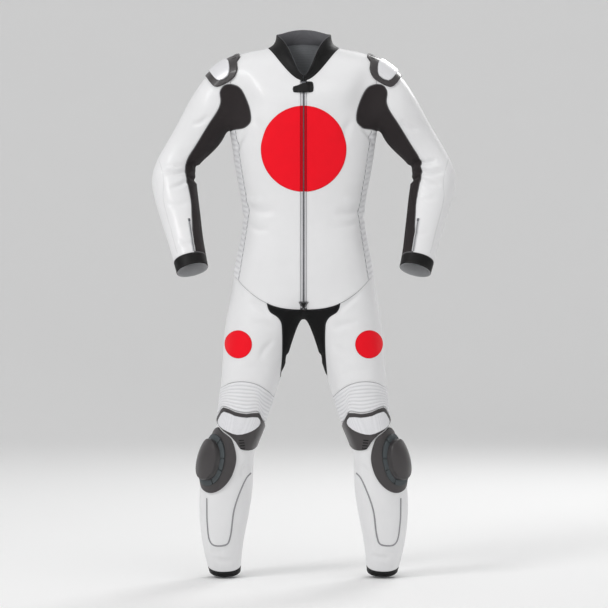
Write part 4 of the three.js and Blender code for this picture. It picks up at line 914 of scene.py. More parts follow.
def declare(piece, slot, *nodes):
    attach(piece, BODY)
    if nodes:
        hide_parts(*nodes)


def cloth_area(piece):
    """The cloth's area in square metres: half of a closed wall's surface."""
    return sum(face.area for face in piece.data.polygons) / 2


def declare_sheet(piece, cut):
    """Works out the cut's width and length in metres, and its area as far as it isn't a full rectangle, but
    keeps none of them.
    """
    width, length = cut
    area = min(cloth_area(piece), width * length)


# Looks: node groups and materials

def linear(colour):
    """Colour of a picture, 0 to 255, as the shader's linear one."""
    return tuple(c / 255 / 12.92 if c <= 10 else ((c / 255 + 0.055) / 1.055) ** 2.4 for c in colour)


def new_group(name, sockets):
    """A shader node group with its sockets: (name, way in or out, kind, default)."""
    group = bpy.data.node_groups.new(name, "ShaderNodeTree")
    for title, way, kind, default in sockets:
        socket = group.interface.new_socket(name=title, in_out=way, socket_type="NodeSocket" + kind)
        if way == "INPUT":
            socket.default_value = default
    return group, group.nodes.new("NodeGroupInput"), group.nodes.new("NodeGroupOutput")


def add_node(tree, kind, settings=(), **inputs):
    """A node with its properties set, and its inputs set or linked from other nodes' outputs."""
    node = tree.nodes.new(kind)
    for key, value in dict(settings).items():
        setattr(node, key, value)
    for key, value in inputs.items():
        slot = int(key[1:]) if key[0] == "i" and key[1:].isdigit() else key.replace("_", " ")
        if isinstance(value, bpy.types.NodeSocket):
            tree.links.new(value, node.inputs[slot])
        else:
            node.inputs[slot].default_value = value
    return node


TEXTURE_SOCKETS = [
    ("Scale", "INPUT", "Float", 420.0), ("Height", "OUTPUT", "Float", 0.0), ("Shade", "OUTPUT", "Float", 0.0),
]
GRAIN = {"pebble": 0.25, "soft_scale": 26.0, "soft_share": 0.6}
HOLES = {"unevenness": 0.15, "size": 0.4, "shade": 2.4}
WEAVE_WANDER = 0.4
DUST_SCALE, DUST_SPREAD = 9.0, 0.25  # how large dusty places are, and how much the roughness varies


def maths(tree, operation, a, b):
    return add_node(tree, "ShaderNodeMath", {"operation": operation}, i0=a, i1=b).outputs[0]


def grain_group():
    """Leather's pebbled grain with pores: a height."""
    group, given, out = new_group("leather_grain", TEXTURE_SOCKETS)
    place = add_node(group, "ShaderNodeTexCoord").outputs["Object"]
    cells = add_node(group, "ShaderNodeTexVoronoi", {"feature": "DISTANCE_TO_EDGE"}, Vector=place,
                     Scale=given.outputs["Scale"])
    soft = add_node(group, "ShaderNodeTexNoise", Vector=place, Scale=GRAIN["soft_scale"], Detail=4.0)
    pebble = maths(group, "MINIMUM", cells.outputs["Distance"], GRAIN["pebble"])
    height = maths(group, "ADD", pebble, maths(group, "MULTIPLY", soft.outputs["Fac"], GRAIN["soft_share"]))
    group.links.new(height, out.inputs["Height"])
    group.links.new(soft.outputs["Fac"], out.inputs["Shade"])
    return group


def weave_group():
    """A ribbed stretch weave: a height, and a painted shade that is darker between the threads."""
    group, given, out = new_group("stretch_weave", TEXTURE_SOCKETS)
    place = add_node(group, "ShaderNodeTexCoord").outputs["Object"]
    waves = []
    for direction in ("DIAGONAL", "Z"):
        wave = add_node(group, "ShaderNodeTexWave", {"wave_type": "BANDS", "bands_direction": direction},
                        Vector=place, Scale=given.outputs["Scale"], Distortion=WEAVE_WANDER, Detail_Scale=2.0)
        waves.append(wave.outputs["Fac"])
    woven = maths(group, "MAXIMUM", *waves)
    for title in ("Height", "Shade"):
        group.links.new(woven, out.inputs[title])
    return group


def pierced_group():
    """Rows of small round holes: a height, and a painted shade that is darker in the holes."""
    group, given, out = new_group("pierced", TEXTURE_SOCKETS)
    place = add_node(group, "ShaderNodeTexCoord").outputs["Object"]
    cells = add_node(group, "ShaderNodeTexVoronoi", {"feature": "F1"}, Vector=place,
                     Scale=given.outputs["Scale"], Randomness=HOLES["unevenness"])
    hole = maths(group, "SMOOTH_MIN", cells.outputs["Distance"], HOLES["size"])
    shade = maths(group, "MULTIPLY", hole, HOLES["shade"])
    group.links.new(hole, out.inputs["Height"])
    group.links.new(shade, out.inputs["Shade"])
    return group


def shade_and_dust_group():
    """Darkens a colour where the texture's shade is low, and darkens or lightens it towards the seam colour
    along seams and in rib grooves; the darkening is painted shade, except for the grain's random tone. It
    also dulls the surface a little with handling and dust.
    """
    group, given, out = new_group("seam_and_wear", [
        ("Color", "INPUT", "Color", (0.8, 0.8, 0.8, 1)), ("Seam Color", "INPUT", "Color", (0.5, 0.5, 0.5, 1)),
        ("Shade", "INPUT", "Float", 0.5), ("Depth", "INPUT", "Float", 0.1),
        ("Roughness", "INPUT", "Float", 0.5),
        ("Color", "OUTPUT", "Color", None), ("Roughness", "OUTPUT", "Float", None),
    ])
    near = add_node(group, "ShaderNodeAttribute", {"attribute_name": "seam"}).outputs["Fac"]
    place = add_node(group, "ShaderNodeTexCoord").outputs["Object"]
    dust = add_node(group, "ShaderNodeTexNoise", Vector=place, Scale=DUST_SCALE, Detail=6.0).outputs["Fac"]
    # Painted shade from the texture: darker between threads and in holes. For the grain this is a random tone
    # in the leather.
    unlit = maths(group, "SUBTRACT", 1.0, given.outputs["Shade"])
    dark = maths(group, "SUBTRACT", 1.0, maths(group, "MULTIPLY", unlit, given.outputs["Depth"]))
    toned = add_node(group, "ShaderNodeMix", {"data_type": "RGBA", "blend_type": "MULTIPLY"}, Factor=1.0,
                     i6=given.outputs["Color"], i7=dark)
    # Painted shade at seams and in rib grooves: the colour goes towards the seam colour as the seam value
    # rises. On the black and stretch pieces that colour is lighter.
    seamed = add_node(group, "ShaderNodeMix", {"data_type": "RGBA"}, Factor=near, i6=toned.outputs[2],
                      i7=given.outputs["Seam Color"])
    uneven = maths(group, "MULTIPLY", maths(group, "SUBTRACT", dust, 0.5), DUST_SPREAD)
    rough = maths(group, "ADD", given.outputs["Roughness"], uneven)
    group.links.new(seamed.outputs[2], out.inputs["Color"])
    group.links.new(rough, out.inputs["Roughness"])
    return group


# Each look: its colour and that of its seams and folds (painted shade where darker than the colour),
# roughness, metal and coat, then its texture with the texture's scale, shade and bump, and its shine
Look = namedtuple("Look", "colour seam rough metal coat texture scale depth bump shine", defaults=(0.5,))
LOOKS = {
    "white_leather": Look((236, 236, 237), (168, 168, 170), 0.46, 0, 0.15, "leather_grain", 420, 0.05, 0.12),
    "black_leather": Look((10, 9, 10), (26, 26, 27), 0.55, 0, 0, "leather_grain", 420, 0.15, 0.25, 0.25),
    "stretch_fabric": Look((48, 43, 44), (150, 150, 152), 0.85, 0, 0, "stretch_weave", 420, 0.35, 0.4, 0.25),
    "black_stretch": Look((22, 22, 23), (64, 64, 66), 0.85, 0, 0, "stretch_weave", 420, 0.35, 0.4, 0.2),
    "pleated_leather": Look((238, 238, 240), (190, 190, 193), 0.55, 0, 0.05, "leather_grain", 420, 0.05, 0.1),
    "red_leather": Look((252, 0, 30), (150, 0, 20), 0.5, 0, 0, "leather_grain", 420, 0.1, 0.12, 0.2),
    "armour_plastic": Look((56, 52, 53), (34, 31, 32), 0.42, 0, 0.25, "leather_grain", 900, 0.1, 0.05),
    "grey_rubber": Look((67, 74, 77), (34, 38, 40), 0.6, 0, 0, "leather_grain", 900, 0.1, 0.08),
    "silver_plate": Look((236, 236, 239), (176, 177, 181), 0.34, 0.15, 0.3, "pierced", 330, 0.3, 0.25),
    "zip_tape": Look((214, 214, 217), (150, 150, 152), 0.85, 0, 0, "stretch_weave", 700, 0.3, 0.3),
    "red_tape": Look((216, 0, 28), (150, 0, 20), 0.85, 0, 0, "stretch_weave", 700, 0.3, 0.3, 0.2),
    "zip_metal": Look((96, 98, 102), (60, 61, 64), 0.35, 0.7, 0, "leather_grain", 900, 0.1, 0.02),
    "grey_piping": Look((150, 150, 153), (110, 110, 112), 0.6, 0, 0, "leather_grain", 600, 0.1, 0.1),
    # The linings' grey is their own colour, set lighter to lift the shade inside the suit: painted light.
    "lining": Look((168, 171, 175), (110, 112, 115), 0.9, 0, 0, "pierced", 300, 0.45, 0.3),
    "collar_lining": Look((112, 112, 116), (50, 50, 52), 0.9, 0, 0, "pierced", 300, 0.3, 0.3),
    "cuff_lining": Look((196, 197, 199), (150, 150, 152), 0.9, 0, 0, "stretch_weave", 420, 0.2, 0.2),
    "pale_thread": Look((214, 214, 217), (214, 214, 217), 0.7, 0, 0, "stretch_weave", 1500, 0.1, 0.1),
    "dark_thread": Look((66, 65, 67), (66, 65, 67), 0.7, 0, 0, "stretch_weave", 1500, 0.1, 0.1),
    "red_thread": Look((196, 6, 30), (196, 6, 30), 0.7, 0, 0, "stretch_weave", 1500, 0.1, 0.1),
}
MADE = {}  # materials by name
BUMP_DISTANCE = 0.0006


def make_material(name, look):
    material = bpy.data.materials.new(name)
    material.use_nodes = True
    tree = material.node_tree
    shader = tree.nodes["Principled BSDF"]
    groups = bpy.data.node_groups
    texture = add_node(tree, "ShaderNodeGroup", {"node_tree": groups[look.texture]}, Scale=look.scale)
    wear = add_node(tree, "ShaderNodeGroup", {"node_tree": groups["seam_and_wear"], "name": "wear"},
                    Color=(*linear(look.colour), 1), Seam_Color=(*linear(look.seam), 1),
                    Shade=texture.outputs["Shade"], Depth=look.depth, Roughness=look.rough)
    bump = add_node(tree, "ShaderNodeBump", Height=texture.outputs["Height"], Strength=look.bump,
                    Distance=BUMP_DISTANCE)
    tree.links.new(wear.outputs["Color"], shader.inputs["Base Color"])
    tree.links.new(wear.outputs["Roughness"], shader.inputs["Roughness"])
    tree.links.new(bump.outputs["Normal"], shader.inputs["Normal"])
    shader.inputs["Metallic"].default_value = look.metal
    shader.inputs["Coat Weight"].default_value = look.coat
    shader.inputs["Specular IOR Level"].default_value = look.shine
    MADE[name] = material


def make_materials(settings):
    for group in (grain_group, weave_group, pierced_group, shade_and_dust_group):
        group()
    for name, look in LOOKS.items():
        make_material(name, look)
    chosen = {"white_leather": settings.leather, "red_leather": settings.accent,
              "stretch_fabric": settings.stretch}
    for name, colour in chosen.items():
        MADE[name].node_tree.nodes["wear"].inputs["Color"].default_value = (*colour, 1)


# Leather and fabric panels

Panel = namedtuple("Panel", "material lining thick width length")
PANELS = {
    "front": Panel("white_leather", "lining", 2, 0.20, 0.70),
    "back": Panel("white_leather", "lining", 2, 0.50, 0.72),
    "sleeve_front": Panel("white_leather", "lining", 2, 0.165, 0.60),
    "sleeve_back": Panel("white_leather", "lining", 2, 0.175, 0.60),
    "thigh": Panel("white_leather", "lining", 2, 0.27, 0.33),
    "shin": Panel("white_leather", "lining", 2, 0.26, 0.45),
    "leg_back": Panel("white_leather", "lining", 2, 0.24, 0.78),
    "stretch": Panel("stretch_fabric", "lining", 1.6, 0.20, 0.50),
    "crotch_panel": Panel("black_stretch", "lining", 1.6, 0.30, 0.36),
    "cuff": Panel("black_leather", "cuff_lining", 2, 0.265, 0.035),
    "hem": Panel("black_leather", "lining", 2, 0.285, 0.018),
    "collar": Panel("black_leather", "collar_lining", 3, 0.42, 0.075),
    "side_strip": Panel("pleated_leather", "lining", 2, 0.10, 0.40),
    "knee_ribs": Panel("pleated_leather", "lining", 2, 0.27, 0.10),
}
RIB_HEIGHT = 1.7


def on_cloth(low, thick=0.0, extra=None):
    """Places points above the creased skin."""
    def place(points, normals):
        height = relief(points) + low + thick + (extra(points) if extra else 0)
        return points + normals * np.reshape(height, (-1, 1))
    return place


def knee_share(points):
    """How many ribs down the knee's panel each point is."""
    x = np.abs(points[:, 0])
    top, bottom = (line_at(smooth_loop(line, closed=False), x) for line in (KNEE_TOP, KNEE_BOTTOM))
    return np.clip((top - points[:, 2]) / (top - bottom), 0, 1) * KNEE_RIBS


def strip_share(points):
    """How many ribs down the waist's strip each point is."""
    z = points[:, 2]
    slanted = z - (np.abs(points[:, 0]) - at_height(BODY_RINGS, z, "half")) * STRIP["slant"] / STRIP["width"]
    return np.clip((STRIP["top"] - slanted) / (STRIP["top"] - STRIP["bottom"]), 0, 1) * STRIP["ribs"]


RIBBED = {"knee_ribs": (knee_share, 2), "side_strip": (strip_share, 1)}  # where the ribs run, and finer cuts
ROUNDED_GROOVE = 0.03
# How strongly the rib grooves are painted in shade, and how fast that painted shade fades up the ribs.
GROOVE_SHADE, GROOVE_FADE = 0.8, 1.5


def add_panel(kind, name):
    """One cut-and-sewn panel as a thin wall, with ribs where it is pleated."""
    spec, patch = PANELS[kind], panels()[name]
    rise = painted_groove_shade = None
    if kind in RIBBED:
        share, times = RIBBED[kind]
        patch = refined(patch, times)

        def crest(points):
            return np.sqrt(np.sin(np.pi * share(points)) ** 2 + ROUNDED_GROOVE)

        def rise(points):
            return RIB_HEIGHT * crest(points)

        # Painted shade in the grooves between the ribs, carried by the seam value.
        def painted_groove_shade(points):
            return GROOVE_SHADE * np.clip(1 - crest(points), 0, 1) ** GROOVE_FADE

    profile = PIPED_EDGE if "stretch" in spec.material else SEAM_EDGE
    made = shell(patch, on_cloth(0, 0, rise), on_cloth(-spec.thick), profile, painted_groove_shade=painted_groove_shade)
    piece = add_object("panel_" + name, made, [spec.material, spec.lining])
    declare(piece, spec.material, name)
    declare_sheet(piece, (spec.width, spec.length))


def add_panels(*materials):
    for kind, spec in PANELS.items():
        if spec.material in materials:
            for name in [kind] if kind in CENTRED else [kind + end for end in ENDING.values()]:
                add_panel(kind, name)


# Small parts that repeat: stitches and teeth

def resampled(points, normals, pitch, closed=True):
    """Points, directions and normals at an even pitch along a line."""
    if closed:
        points, normals = np.vstack([points, points[:1]]), np.vstack([normals, normals[:1]])
    steps = np.linalg.norm(np.diff(points, axis=0), axis=1)
    length = np.concatenate([[0], np.cumsum(steps)])
    count = max(int(length[-1] / pitch), 1)
    at = (np.arange(count) + 0.5) * length[-1] / count
    read = lambda values, where: np.stack([np.interp(where, length, c) for c in values.T], axis=1)
    ahead = unit(read(points, at + pitch / 3) - read(points, at - pitch / 3))
    return read(points, at), ahead, unit(read(normals, at))


def rim_loops(patch):
    """The rim's points in order, one list for each loop."""
    following = dict(rim_of(patch.faces).tolist())
    loops = []
    while following:
        start, loop = next(iter(following)), []
        while start in following:
            loop.append(start)
            start = following.pop(start)
        loops.append(np.array(loop))
    return loops


def template(build, *bevel):
    """A small part's points and faces, modelled once at the origin with operators."""
    bpy.ops.object.select_all(action="DESELECT")
    build()
    part = bpy.context.object
    bpy.ops.object.transform_apply(location=True, rotation=True, scale=True)
    bpy.ops.object.mode_set(mode="EDIT")
    bpy.ops.mesh.select_all(action="SELECT")
    if bevel:
        bpy.ops.mesh.bevel(offset=bevel[0], segments=bevel[1], affect="EDGES")
    bpy.ops.mesh.normals_make_consistent(inside=False)
    bpy.ops.object.mode_set(mode="OBJECT")
    points = np.array([v.co for v in part.data.vertices])
    sizes = {len(f.vertices) for f in part.data.polygons}
    faces = [np.array([list(f.vertices) for f in part.data.polygons if len(f.vertices) == n]) for n in sizes]
    mesh = part.data
    bpy.data.objects.remove(part)
    bpy.data.meshes.remove(mesh)
    return points, faces


def scattered(part, places, ahead, normals):
    """Copies of a small part: its x along the line, its z outward."""
    points, faces = part
    ahead = unit(ahead - normals * (ahead * normals).sum(axis=1, keepdims=True))
    across = np.cross(normals, ahead)
    copies = np.einsum("vk,nkc->nvc", points, np.stack([ahead, across, normals], axis=1)) + places[:, None]
    offsets = np.arange(len(places))[:, None, None] * len(points)
    groups = [(group[None] + offsets).reshape(-1, group.shape[1]) for group in faces]
    return Shell(copies.reshape(-1, 3), groups, [0] * len(groups), np.zeros(len(places) * len(points)))


STITCH = {"long": 2.7, "thick": 0.75, "inset": 3.6, "sink": 0.05}
SHORTEST_LOOP = 8  # points of a rim that is long enough to sew round


def stitch_part():
    def build():
        bpy.ops.mesh.primitive_uv_sphere_add(segments=6, ring_count=3, rotation=(0, math.pi / 2, 0))
        bpy.context.object.scale = (STITCH["thick"] / 2, STITCH["thick"] / 2, STITCH["long"] / 2)
    return template(build)


def stitch_rows(patch, part, place, pitch, inset):
    """Stitches round a piece, at a distance inside its rim."""
    _, pull = pulled(patch)
    rows = []
    for loop in rim_loops(patch):
        if len(loop) > SHORTEST_LOOP:
            n = patch.normals[loop]
            line = place(patch.points[loop] + pull[loop] * inset, n)
            rows.append(scattered(part, *resampled(line, n, pitch)))
    return rows


# Discs, patches and small zips

TRIM = 1.0  # the thickness of a patch
DISC_EDGE = [(1.2, 0), (0.4, 0.25), (0, 0.9)]
CUT_MARGIN = 12
DISC_SEAM = {"pitch": 4.2, "inset": 3.2}
OUTLINE_STEPS = 2  # steps of the curve between the points of a patch's or a plate's outline
CHEST_CUT = (0.105, 0.23)
THIGH_CUT = (0.075, 0.078)


def laid_on(names, field, times=0):
    """The part of some panels inside an outline, cut from a finer copy of them."""
    parts, total = [], 0
    for name in names:
        parts.append((panels()[name], total))
        total += len(panels()[name].points)
    points = np.vstack([p.points for p, _ in parts])
    normals = np.vstack([p.normals for p, _ in parts])
    faces = np.vstack([p.faces + offset for p, offset in parts])
    _, first, back = np.unique(np.round(points, SAME_PLACE), axis=0, return_index=True, return_inverse=True)
    patch = Patch(points[first], normals[first], back.reshape(-1)[faces])
    close = np.abs(field(patch.points)[patch.faces]).min(axis=1) < CUT_MARGIN
    inside = (field(patch.points)[patch.faces] < 0).any(axis=1)
    patch = compact(Patch(patch.points, patch.normals, patch.faces[close | inside]))
    if times:
        patch = refined(patch, times)
    patch, sides, _ = split(patch, field, np.zeros(len(patch.points), bool))
    return compact(Patch(patch.points, patch.normals, patch.faces[sides < 0]))


def for_side(patch, side):
    return patch if side == LEFT else mirrored(patch)


def add_disc(name, patch, cut):
    """A disc sewn on a panel, with its thread."""
    made = shell(patch, on_cloth(PAD_LIFT, TRIM), on_cloth(PAD_LIFT), DISC_EDGE, inside=0)
    sewn = stitch_rows(patch, stitch_part(), on_cloth(PAD_LIFT, TRIM + STITCH["sink"]), **DISC_SEAM)
    piece = add_object(name, joined([made, in_second(joined(sewn))]), ["red_leather", "red_thread"])
    declare(piece, "red_leather", name)
    declare_sheet(piece, cut)


def add_discs():
    for side in (LEFT, RIGHT):
        end = ENDING[side]
        chest = laid_on(["front_l"], disc_field(CHEST_DISC))
        add_disc("chest_disc" + end, for_side(chest, side), CHEST_CUT)
        thigh = laid_on(["thigh_l"], disc_field(THIGH_DISC), 1)
        add_disc("thigh_disc" + end, for_side(thigh, side), THIGH_CUT)


TAPE = {"sink": 0.9, "thick": 1.0, "cut": (0.016, 0.60), "edge": [(0.6, 0), (0.15, 0.5)], "past_top": 4}
TOOTH = {"along": 1.3, "across": 2.6, "high": 1.4}
TOOTH_BEVEL = 0.25
TEETH = {"pitch": 2.4, "beside": 0.6, "lift": 0.35, "below_slider": 2, "step": 6}
SMALL_TAPE = {"low": 0.3, "high": 1.1}
SMALL_TOOTH = {"along": 1.0, "across": 0.95, "high": 0.9}  # both widths across are shares of half the tape
SMALL_SLIDER = {"along": 7.0, "across": 1.25, "high": 1.5}
SMALL_TEETH = {"pitch": 2.0, "lift": 1.25, "slider_lift": 1.6}
SLEEVE_ZIP_HALF, CALF_ZIP_HALF = 4, 5
LINE_STEPS = 8  # steps of the curve between the points of a small zip or the piping


def block_part(along, across, high):
    def build():
        bpy.ops.mesh.primitive_cube_add(size=1)
        bpy.context.object.scale = (along, across, high)
    return template(build, TOOTH_BEVEL, 1)


def lay_line(view, table, side=LEFT, steps=4):
    """A line in place on the creased cloth."""
    points, normals = cast_line(view, table, side, steps)
    return points + normals * relief(points)[:, None], normals


def ribbon(line, normals, section):
    """Sweeps a closed section (across, up) along a line, with flat ends."""
    ahead = unit(np.gradient(line, axis=0))
    across = unit(np.cross(ahead, normals))
    up = unit(np.cross(across, ahead))
    rings = [line + across * a + up * u for a, u in section]
    points = np.stack(rings, axis=1).reshape(-1, 3)
    count = len(section)
    k = np.arange(count)
    start = (np.arange(len(line) - 1) * count)[:, None]
    a, b = start + k, start + (k + 1) % count
    quads = np.stack([a, b, b + count, a + count], axis=2).reshape(-1, 4)
    caps = [np.array([k[::-1]]), np.array([k + (len(line) - 1) * count])]
    return Shell(points, [quads, *caps], [0, 0, 0], np.zeros(len(points)))


PIPING = {"half": 2.1, "low": 0.1, "high": 1.9}
PIPING_SIDES = 10
PIPING_SHOULDER = 0.8
TAPE_CORNER = 0.3


def oval_section(half, low, high):
    """A rounded section, flat underneath."""
    turns = [math.pi * k / (PIPING_SIDES - 1) for k in range(PIPING_SIDES)]
    return [(-half * math.cos(t), low + (high - low) * math.sin(t) ** PIPING_SHOULDER) for t in turns]


def flat_section(half, low, high):
    """A strip's section with its upper corners cut off."""
    left = [(-half, low), (-half, high - TAPE_CORNER), (-half + TAPE_CORNER, high)]
    right = [(half - TAPE_CORNER, high), (half, high - TAPE_CORNER), (half, low)]
    return left + right


def on_side(made, side):
    """A shell made on the left side, or its mirror image."""
    if side == LEFT:
        return made
    return made._replace(points=made.points * FLIP, groups=[group[:, ::-1] for group in made.groups])


def small_zip(name, view, table, half, side):
    """A short closed zip on a tape, with its teeth and a slider at its end."""
    points, normals = lay_line(view, table, side, LINE_STEPS)
    tape = ribbon(points, normals, flat_section(half, **SMALL_TAPE))
    tooth, body = (block_part(size["along"], half * size["across"], size["high"])
                   for size in (SMALL_TOOTH, SMALL_SLIDER))
    at, ahead, out = resampled(points, normals, SMALL_TEETH["pitch"], closed=False)
    teeth = scattered(tooth, at + out * SMALL_TEETH["lift"], ahead, out)
    slider = scattered(body, points[1:2] + normals[1:2] * SMALL_TEETH["slider_lift"], ahead[:1], normals[1:2])
    piece = add_object(name, joined([tape, in_second(teeth), in_second(slider)]), ["zip_tape", "zip_metal"])
    declare(piece, "zip_tape", name)


def add_small_zips():
    for side in (LEFT, RIGHT):
        small_zip("sleeve_zip" + ENDING[side], "front", SLEEVE_ZIP, SLEEVE_ZIP_HALF, side)
        small_zip("calf_zip" + ENDING[side], "back", CALF_ZIP, CALF_ZIP_HALF, side)


def add_piping():
    for side in (LEFT, RIGHT):
        name = "shin_piping" + ENDING[side]
        points, normals = lay_line("front", SHIN_PIPING, side, LINE_STEPS)
        piece = add_object(name, ribbon(points, normals, oval_section(**PIPING)), ["grey_piping"])
        declare(piece, "grey_piping", name)


def zip_line(top, bottom):
    """The zip's middle line on the creased cloth, from its top down."""
    rows = int((top - bottom) / TEETH["step"])
    table = [(0, top - (top - bottom) * k / rows) for k in range(rows + 1)]
    return lay_line("front", table, LEFT, 1)


def add_zip_tapes():
    for side in (LEFT, RIGHT):
        name = "zip_tape" + ENDING[side]
        patch = panels()["slot" + ENDING[side]]
        z = patch.points[patch.faces][:, :, 2]
        keep = ((z > FRONT_ZIP["bottom"]) & (z < FRONT_ZIP["top"] + TAPE["past_top"])).all(axis=1)
        patch = compact(Patch(patch.points, patch.normals, patch.faces[keep]))
        sink = -TAPE["sink"]
        made = shell(patch, on_cloth(sink), on_cloth(sink - TAPE["thick"]), TAPE["edge"], inside=0)
        piece = add_object(name, made, ["zip_tape", "red_tape"])
        for face in piece.data.polygons:
            face.material_index = abs(face.center.z / MM - CHEST_DISC["z"]) < CHEST_DISC["radius"]
        declare(piece, "zip_tape", name)
        declare_sheet(piece, TAPE["cut"])


def add_front_zip():
    """The front zip: two tapes sewn under the panels' edges, a row of teeth on each, and the slider."""
    add_zip_tapes()
    points, normals = zip_line(FRONT_ZIP["slider_bottom"] - TEETH["below_slider"], FRONT_ZIP["bottom"])
    tooth = block_part(**TOOTH)
    at, ahead, out = resampled(points, normals, TEETH["pitch"], closed=False)
    rows = []
    for way in (LEFT, RIGHT):
        across = np.cross(out, ahead) * TEETH["beside"] * way
        shift = ahead * TEETH["pitch"] / 4 * way
        rows.append(scattered(tooth, at + across + shift + out * TEETH["lift"], ahead, out))
    declare(add_object("zip_chain", joined(rows), ["zip_metal"]), "zip_metal", "zip_chain")
    add_zip_slider()


SLIDER_BODY = {"long": 15, "wide": 11.5, "high": 3.0, "waist": 0.72, "fall": 0.25, "cuts": 3, "bevel": 0.5}
SLIDER_BRIDGE = {"wide": 5.0, "thick": 1.1}


def add_zip_slider():
    """The slider that peeks out above the tab: a waisted body with a bridge for its hidden pull."""
    middle, out = cast("front", 0, (FRONT_ZIP["slider_top"] + FRONT_ZIP["slider_bottom"]) / 2)
    bpy.ops.object.select_all(action="DESELECT")
    bpy.ops.mesh.primitive_cube_add(size=1)
    body = bpy.context.object
    body.scale = (SLIDER_BODY["wide"], SLIDER_BODY["high"], SLIDER_BODY["long"])
    bpy.ops.object.transform_apply(scale=True)
    bpy.ops.object.mode_set(mode="EDIT")
    bpy.ops.mesh.select_all(action="SELECT")
    bpy.ops.mesh.subdivide(number_cuts=SLIDER_BODY["cuts"])
    bpy.ops.object.mode_set(mode="OBJECT")
    for vertex in body.data.vertices:
        share = abs(vertex.co.z) / (SLIDER_BODY["long"] / 2)
        if vertex.co.z < 0:
            vertex.co.x *= 1 - (1 - SLIDER_BODY["waist"]) * share
        vertex.co.y *= 1 - SLIDER_BODY["fall"] * share
    bpy.ops.mesh.primitive_torus_add(
        major_radius=SLIDER_BRIDGE["wide"] / 2, minor_radius=SLIDER_BRIDGE["thick"], major_segments=20,
        minor_segments=8, location=(0, -SLIDER_BODY["high"] / 2, 0), rotation=(0, math.pi / 2, 0))
    bpy.ops.object.transform_apply(location=True, rotation=True, scale=True)
    body.select_set(True)
    bpy.context.view_layer.objects.active = body
    bpy.ops.object.join()
    bevel = body.modifiers.new("edges", "BEVEL")
    bevel.width, bevel.segments = SLIDER_BODY["bevel"], 2
    bpy.ops.object.modifier_apply(modifier=bevel.name)
    turn = Vector((0, -1, 0)).rotation_difference(Vector(out)).to_matrix()
    place = Vector(middle + out * (SLIDER_BODY["high"] / 2))
    for vertex in body.data.vertices:
        vertex.co = (turn @ vertex.co + place) * MM
    body.name = body.data.name = "zip_slider"
    body.data.materials.append(MADE["zip_metal"])
    finish_mesh(body)
    declare(body, "zip_metal", "zip_slider")


TAB_SEAM = {"pitch": 3.6, "inset": 2.6}
END_SEAM = {"pitch": 3.4, "inset": 2.2}
TAB_THICK = 2.0
TAB_RISE = {"high": 3.6, "from": ZIP_HALF + 1, "over": 8}  # it bridges the zip, then comes down beside it
TAB_CORNER = {"x": 8, "z": -112, "reach": 10, "lean": 0.25}  # its raised corner
END_LIFT = PAD_LIFT + 1.2
TAB_CUT = (0.055, 0.03)
END_CUT = (0.028, 0.022)
FRONTS = ["front_l", "front_r", "slot_l", "slot_r"]


def over_zip(points):
    """How high the neck tab is above the cloth."""
    beside = np.clip((np.abs(points[:, 0]) - TAB_RISE["from"]) / TAB_RISE["over"], 0, 1)
    above = np.clip(points[:, 2] - TAB_CORNER["z"], 0, TAB_CORNER["reach"])
    corner = (points[:, 0] > TAB_CORNER["x"]) * above
    return TAB_RISE["high"] * (1 - beside) + corner * TAB_CORNER["lean"]


def add_patch(name, outline, low, thick, seam, thread, cut, extra=None):
    """A small black patch sewn over the zip, closed all round."""
    patch = laid_on(FRONTS, outline, 1)
    made = shell(patch, on_cloth(low, thick, extra), on_cloth(low, 0, extra), DISC_EDGE, inside=0)
    rows = stitch_rows(patch, stitch_part(), on_cloth(low, thick + STITCH["sink"], extra), **seam)
    piece = add_object(name, joined([made, in_second(joined(rows))]), ["black_leather", thread])
    declare(piece, "black_leather", name)
    declare_sheet(piece, cut)


def add_patches():
    """The tab that closes over the top of the zip, and the patch over its end."""
    tab, end = outline_field(NECK_TAB, OUTLINE_STEPS), outline_field(ZIP_END, 0)
    add_patch("neck_tab", tab, PAD_LIFT, TAB_THICK, TAB_SEAM, "dark_thread", TAB_CUT, over_zip)
    add_patch("zip_end", end, END_LIFT, TRIM, END_SEAM, "pale_thread", END_CUT)


# Armour

SHOULDER = ["front_l", "back", "sleeve_front_l", "sleeve_back_l", "stretch_l"]
KNEE_FRONT = ["thigh_l", "knee_ribs_l", "shin_l"]
KNEE = [*KNEE_FRONT, "leg_back_l"]
FLAP_BARS = [(163, -1031), (162, -1038), (161, -1045), (160, -1052)]
CUP_BARS = [(178, -22), (180, -29), (181, -36)]
BAR = {"wide": 3.0, "high": 1.4}
BAR_BEVEL = (0.12, 2)
FLAP_BAR = {"long": 14, "lean": 0.0}
CUP_BAR = {"long": 11, "lean": -0.5}


def above_skin(low):
    return lambda points, normals: points + normals * low


def plate(name, patch, low, thick, materials, extras=(), side=LEFT):
    """A moulded plate with rounded edges, with its small parts on it."""
    body = shell(patch, above_skin(low + thick), above_skin(low), MOULDED_EDGE, inside=0)
    whole = on_side(joined([body, *map(in_second, extras)]), side)
    declare(add_object(name, whole, materials), materials[0], name)


def bar_part(long):
    def build():
        bpy.ops.mesh.primitive_cylinder_add(vertices=12, radius=0.5, depth=1, rotation=(0, math.pi / 2, 0))
        bpy.context.object.scale = (BAR["high"], BAR["wide"], long)
    return template(build, *BAR_BEVEL)


def bars(table, low, long, lean):
    """Small ribs across a plate, each at its place in the front view."""
    part, rows = bar_part(long), []
    for x, z in table:
        point, normal = cast("front", x, z)
        ahead = np.array([[math.cos(lean), 0, math.sin(lean)]])
        rows.append(scattered(part, (point + normal * low)[None], ahead, normal[None]))
    return rows


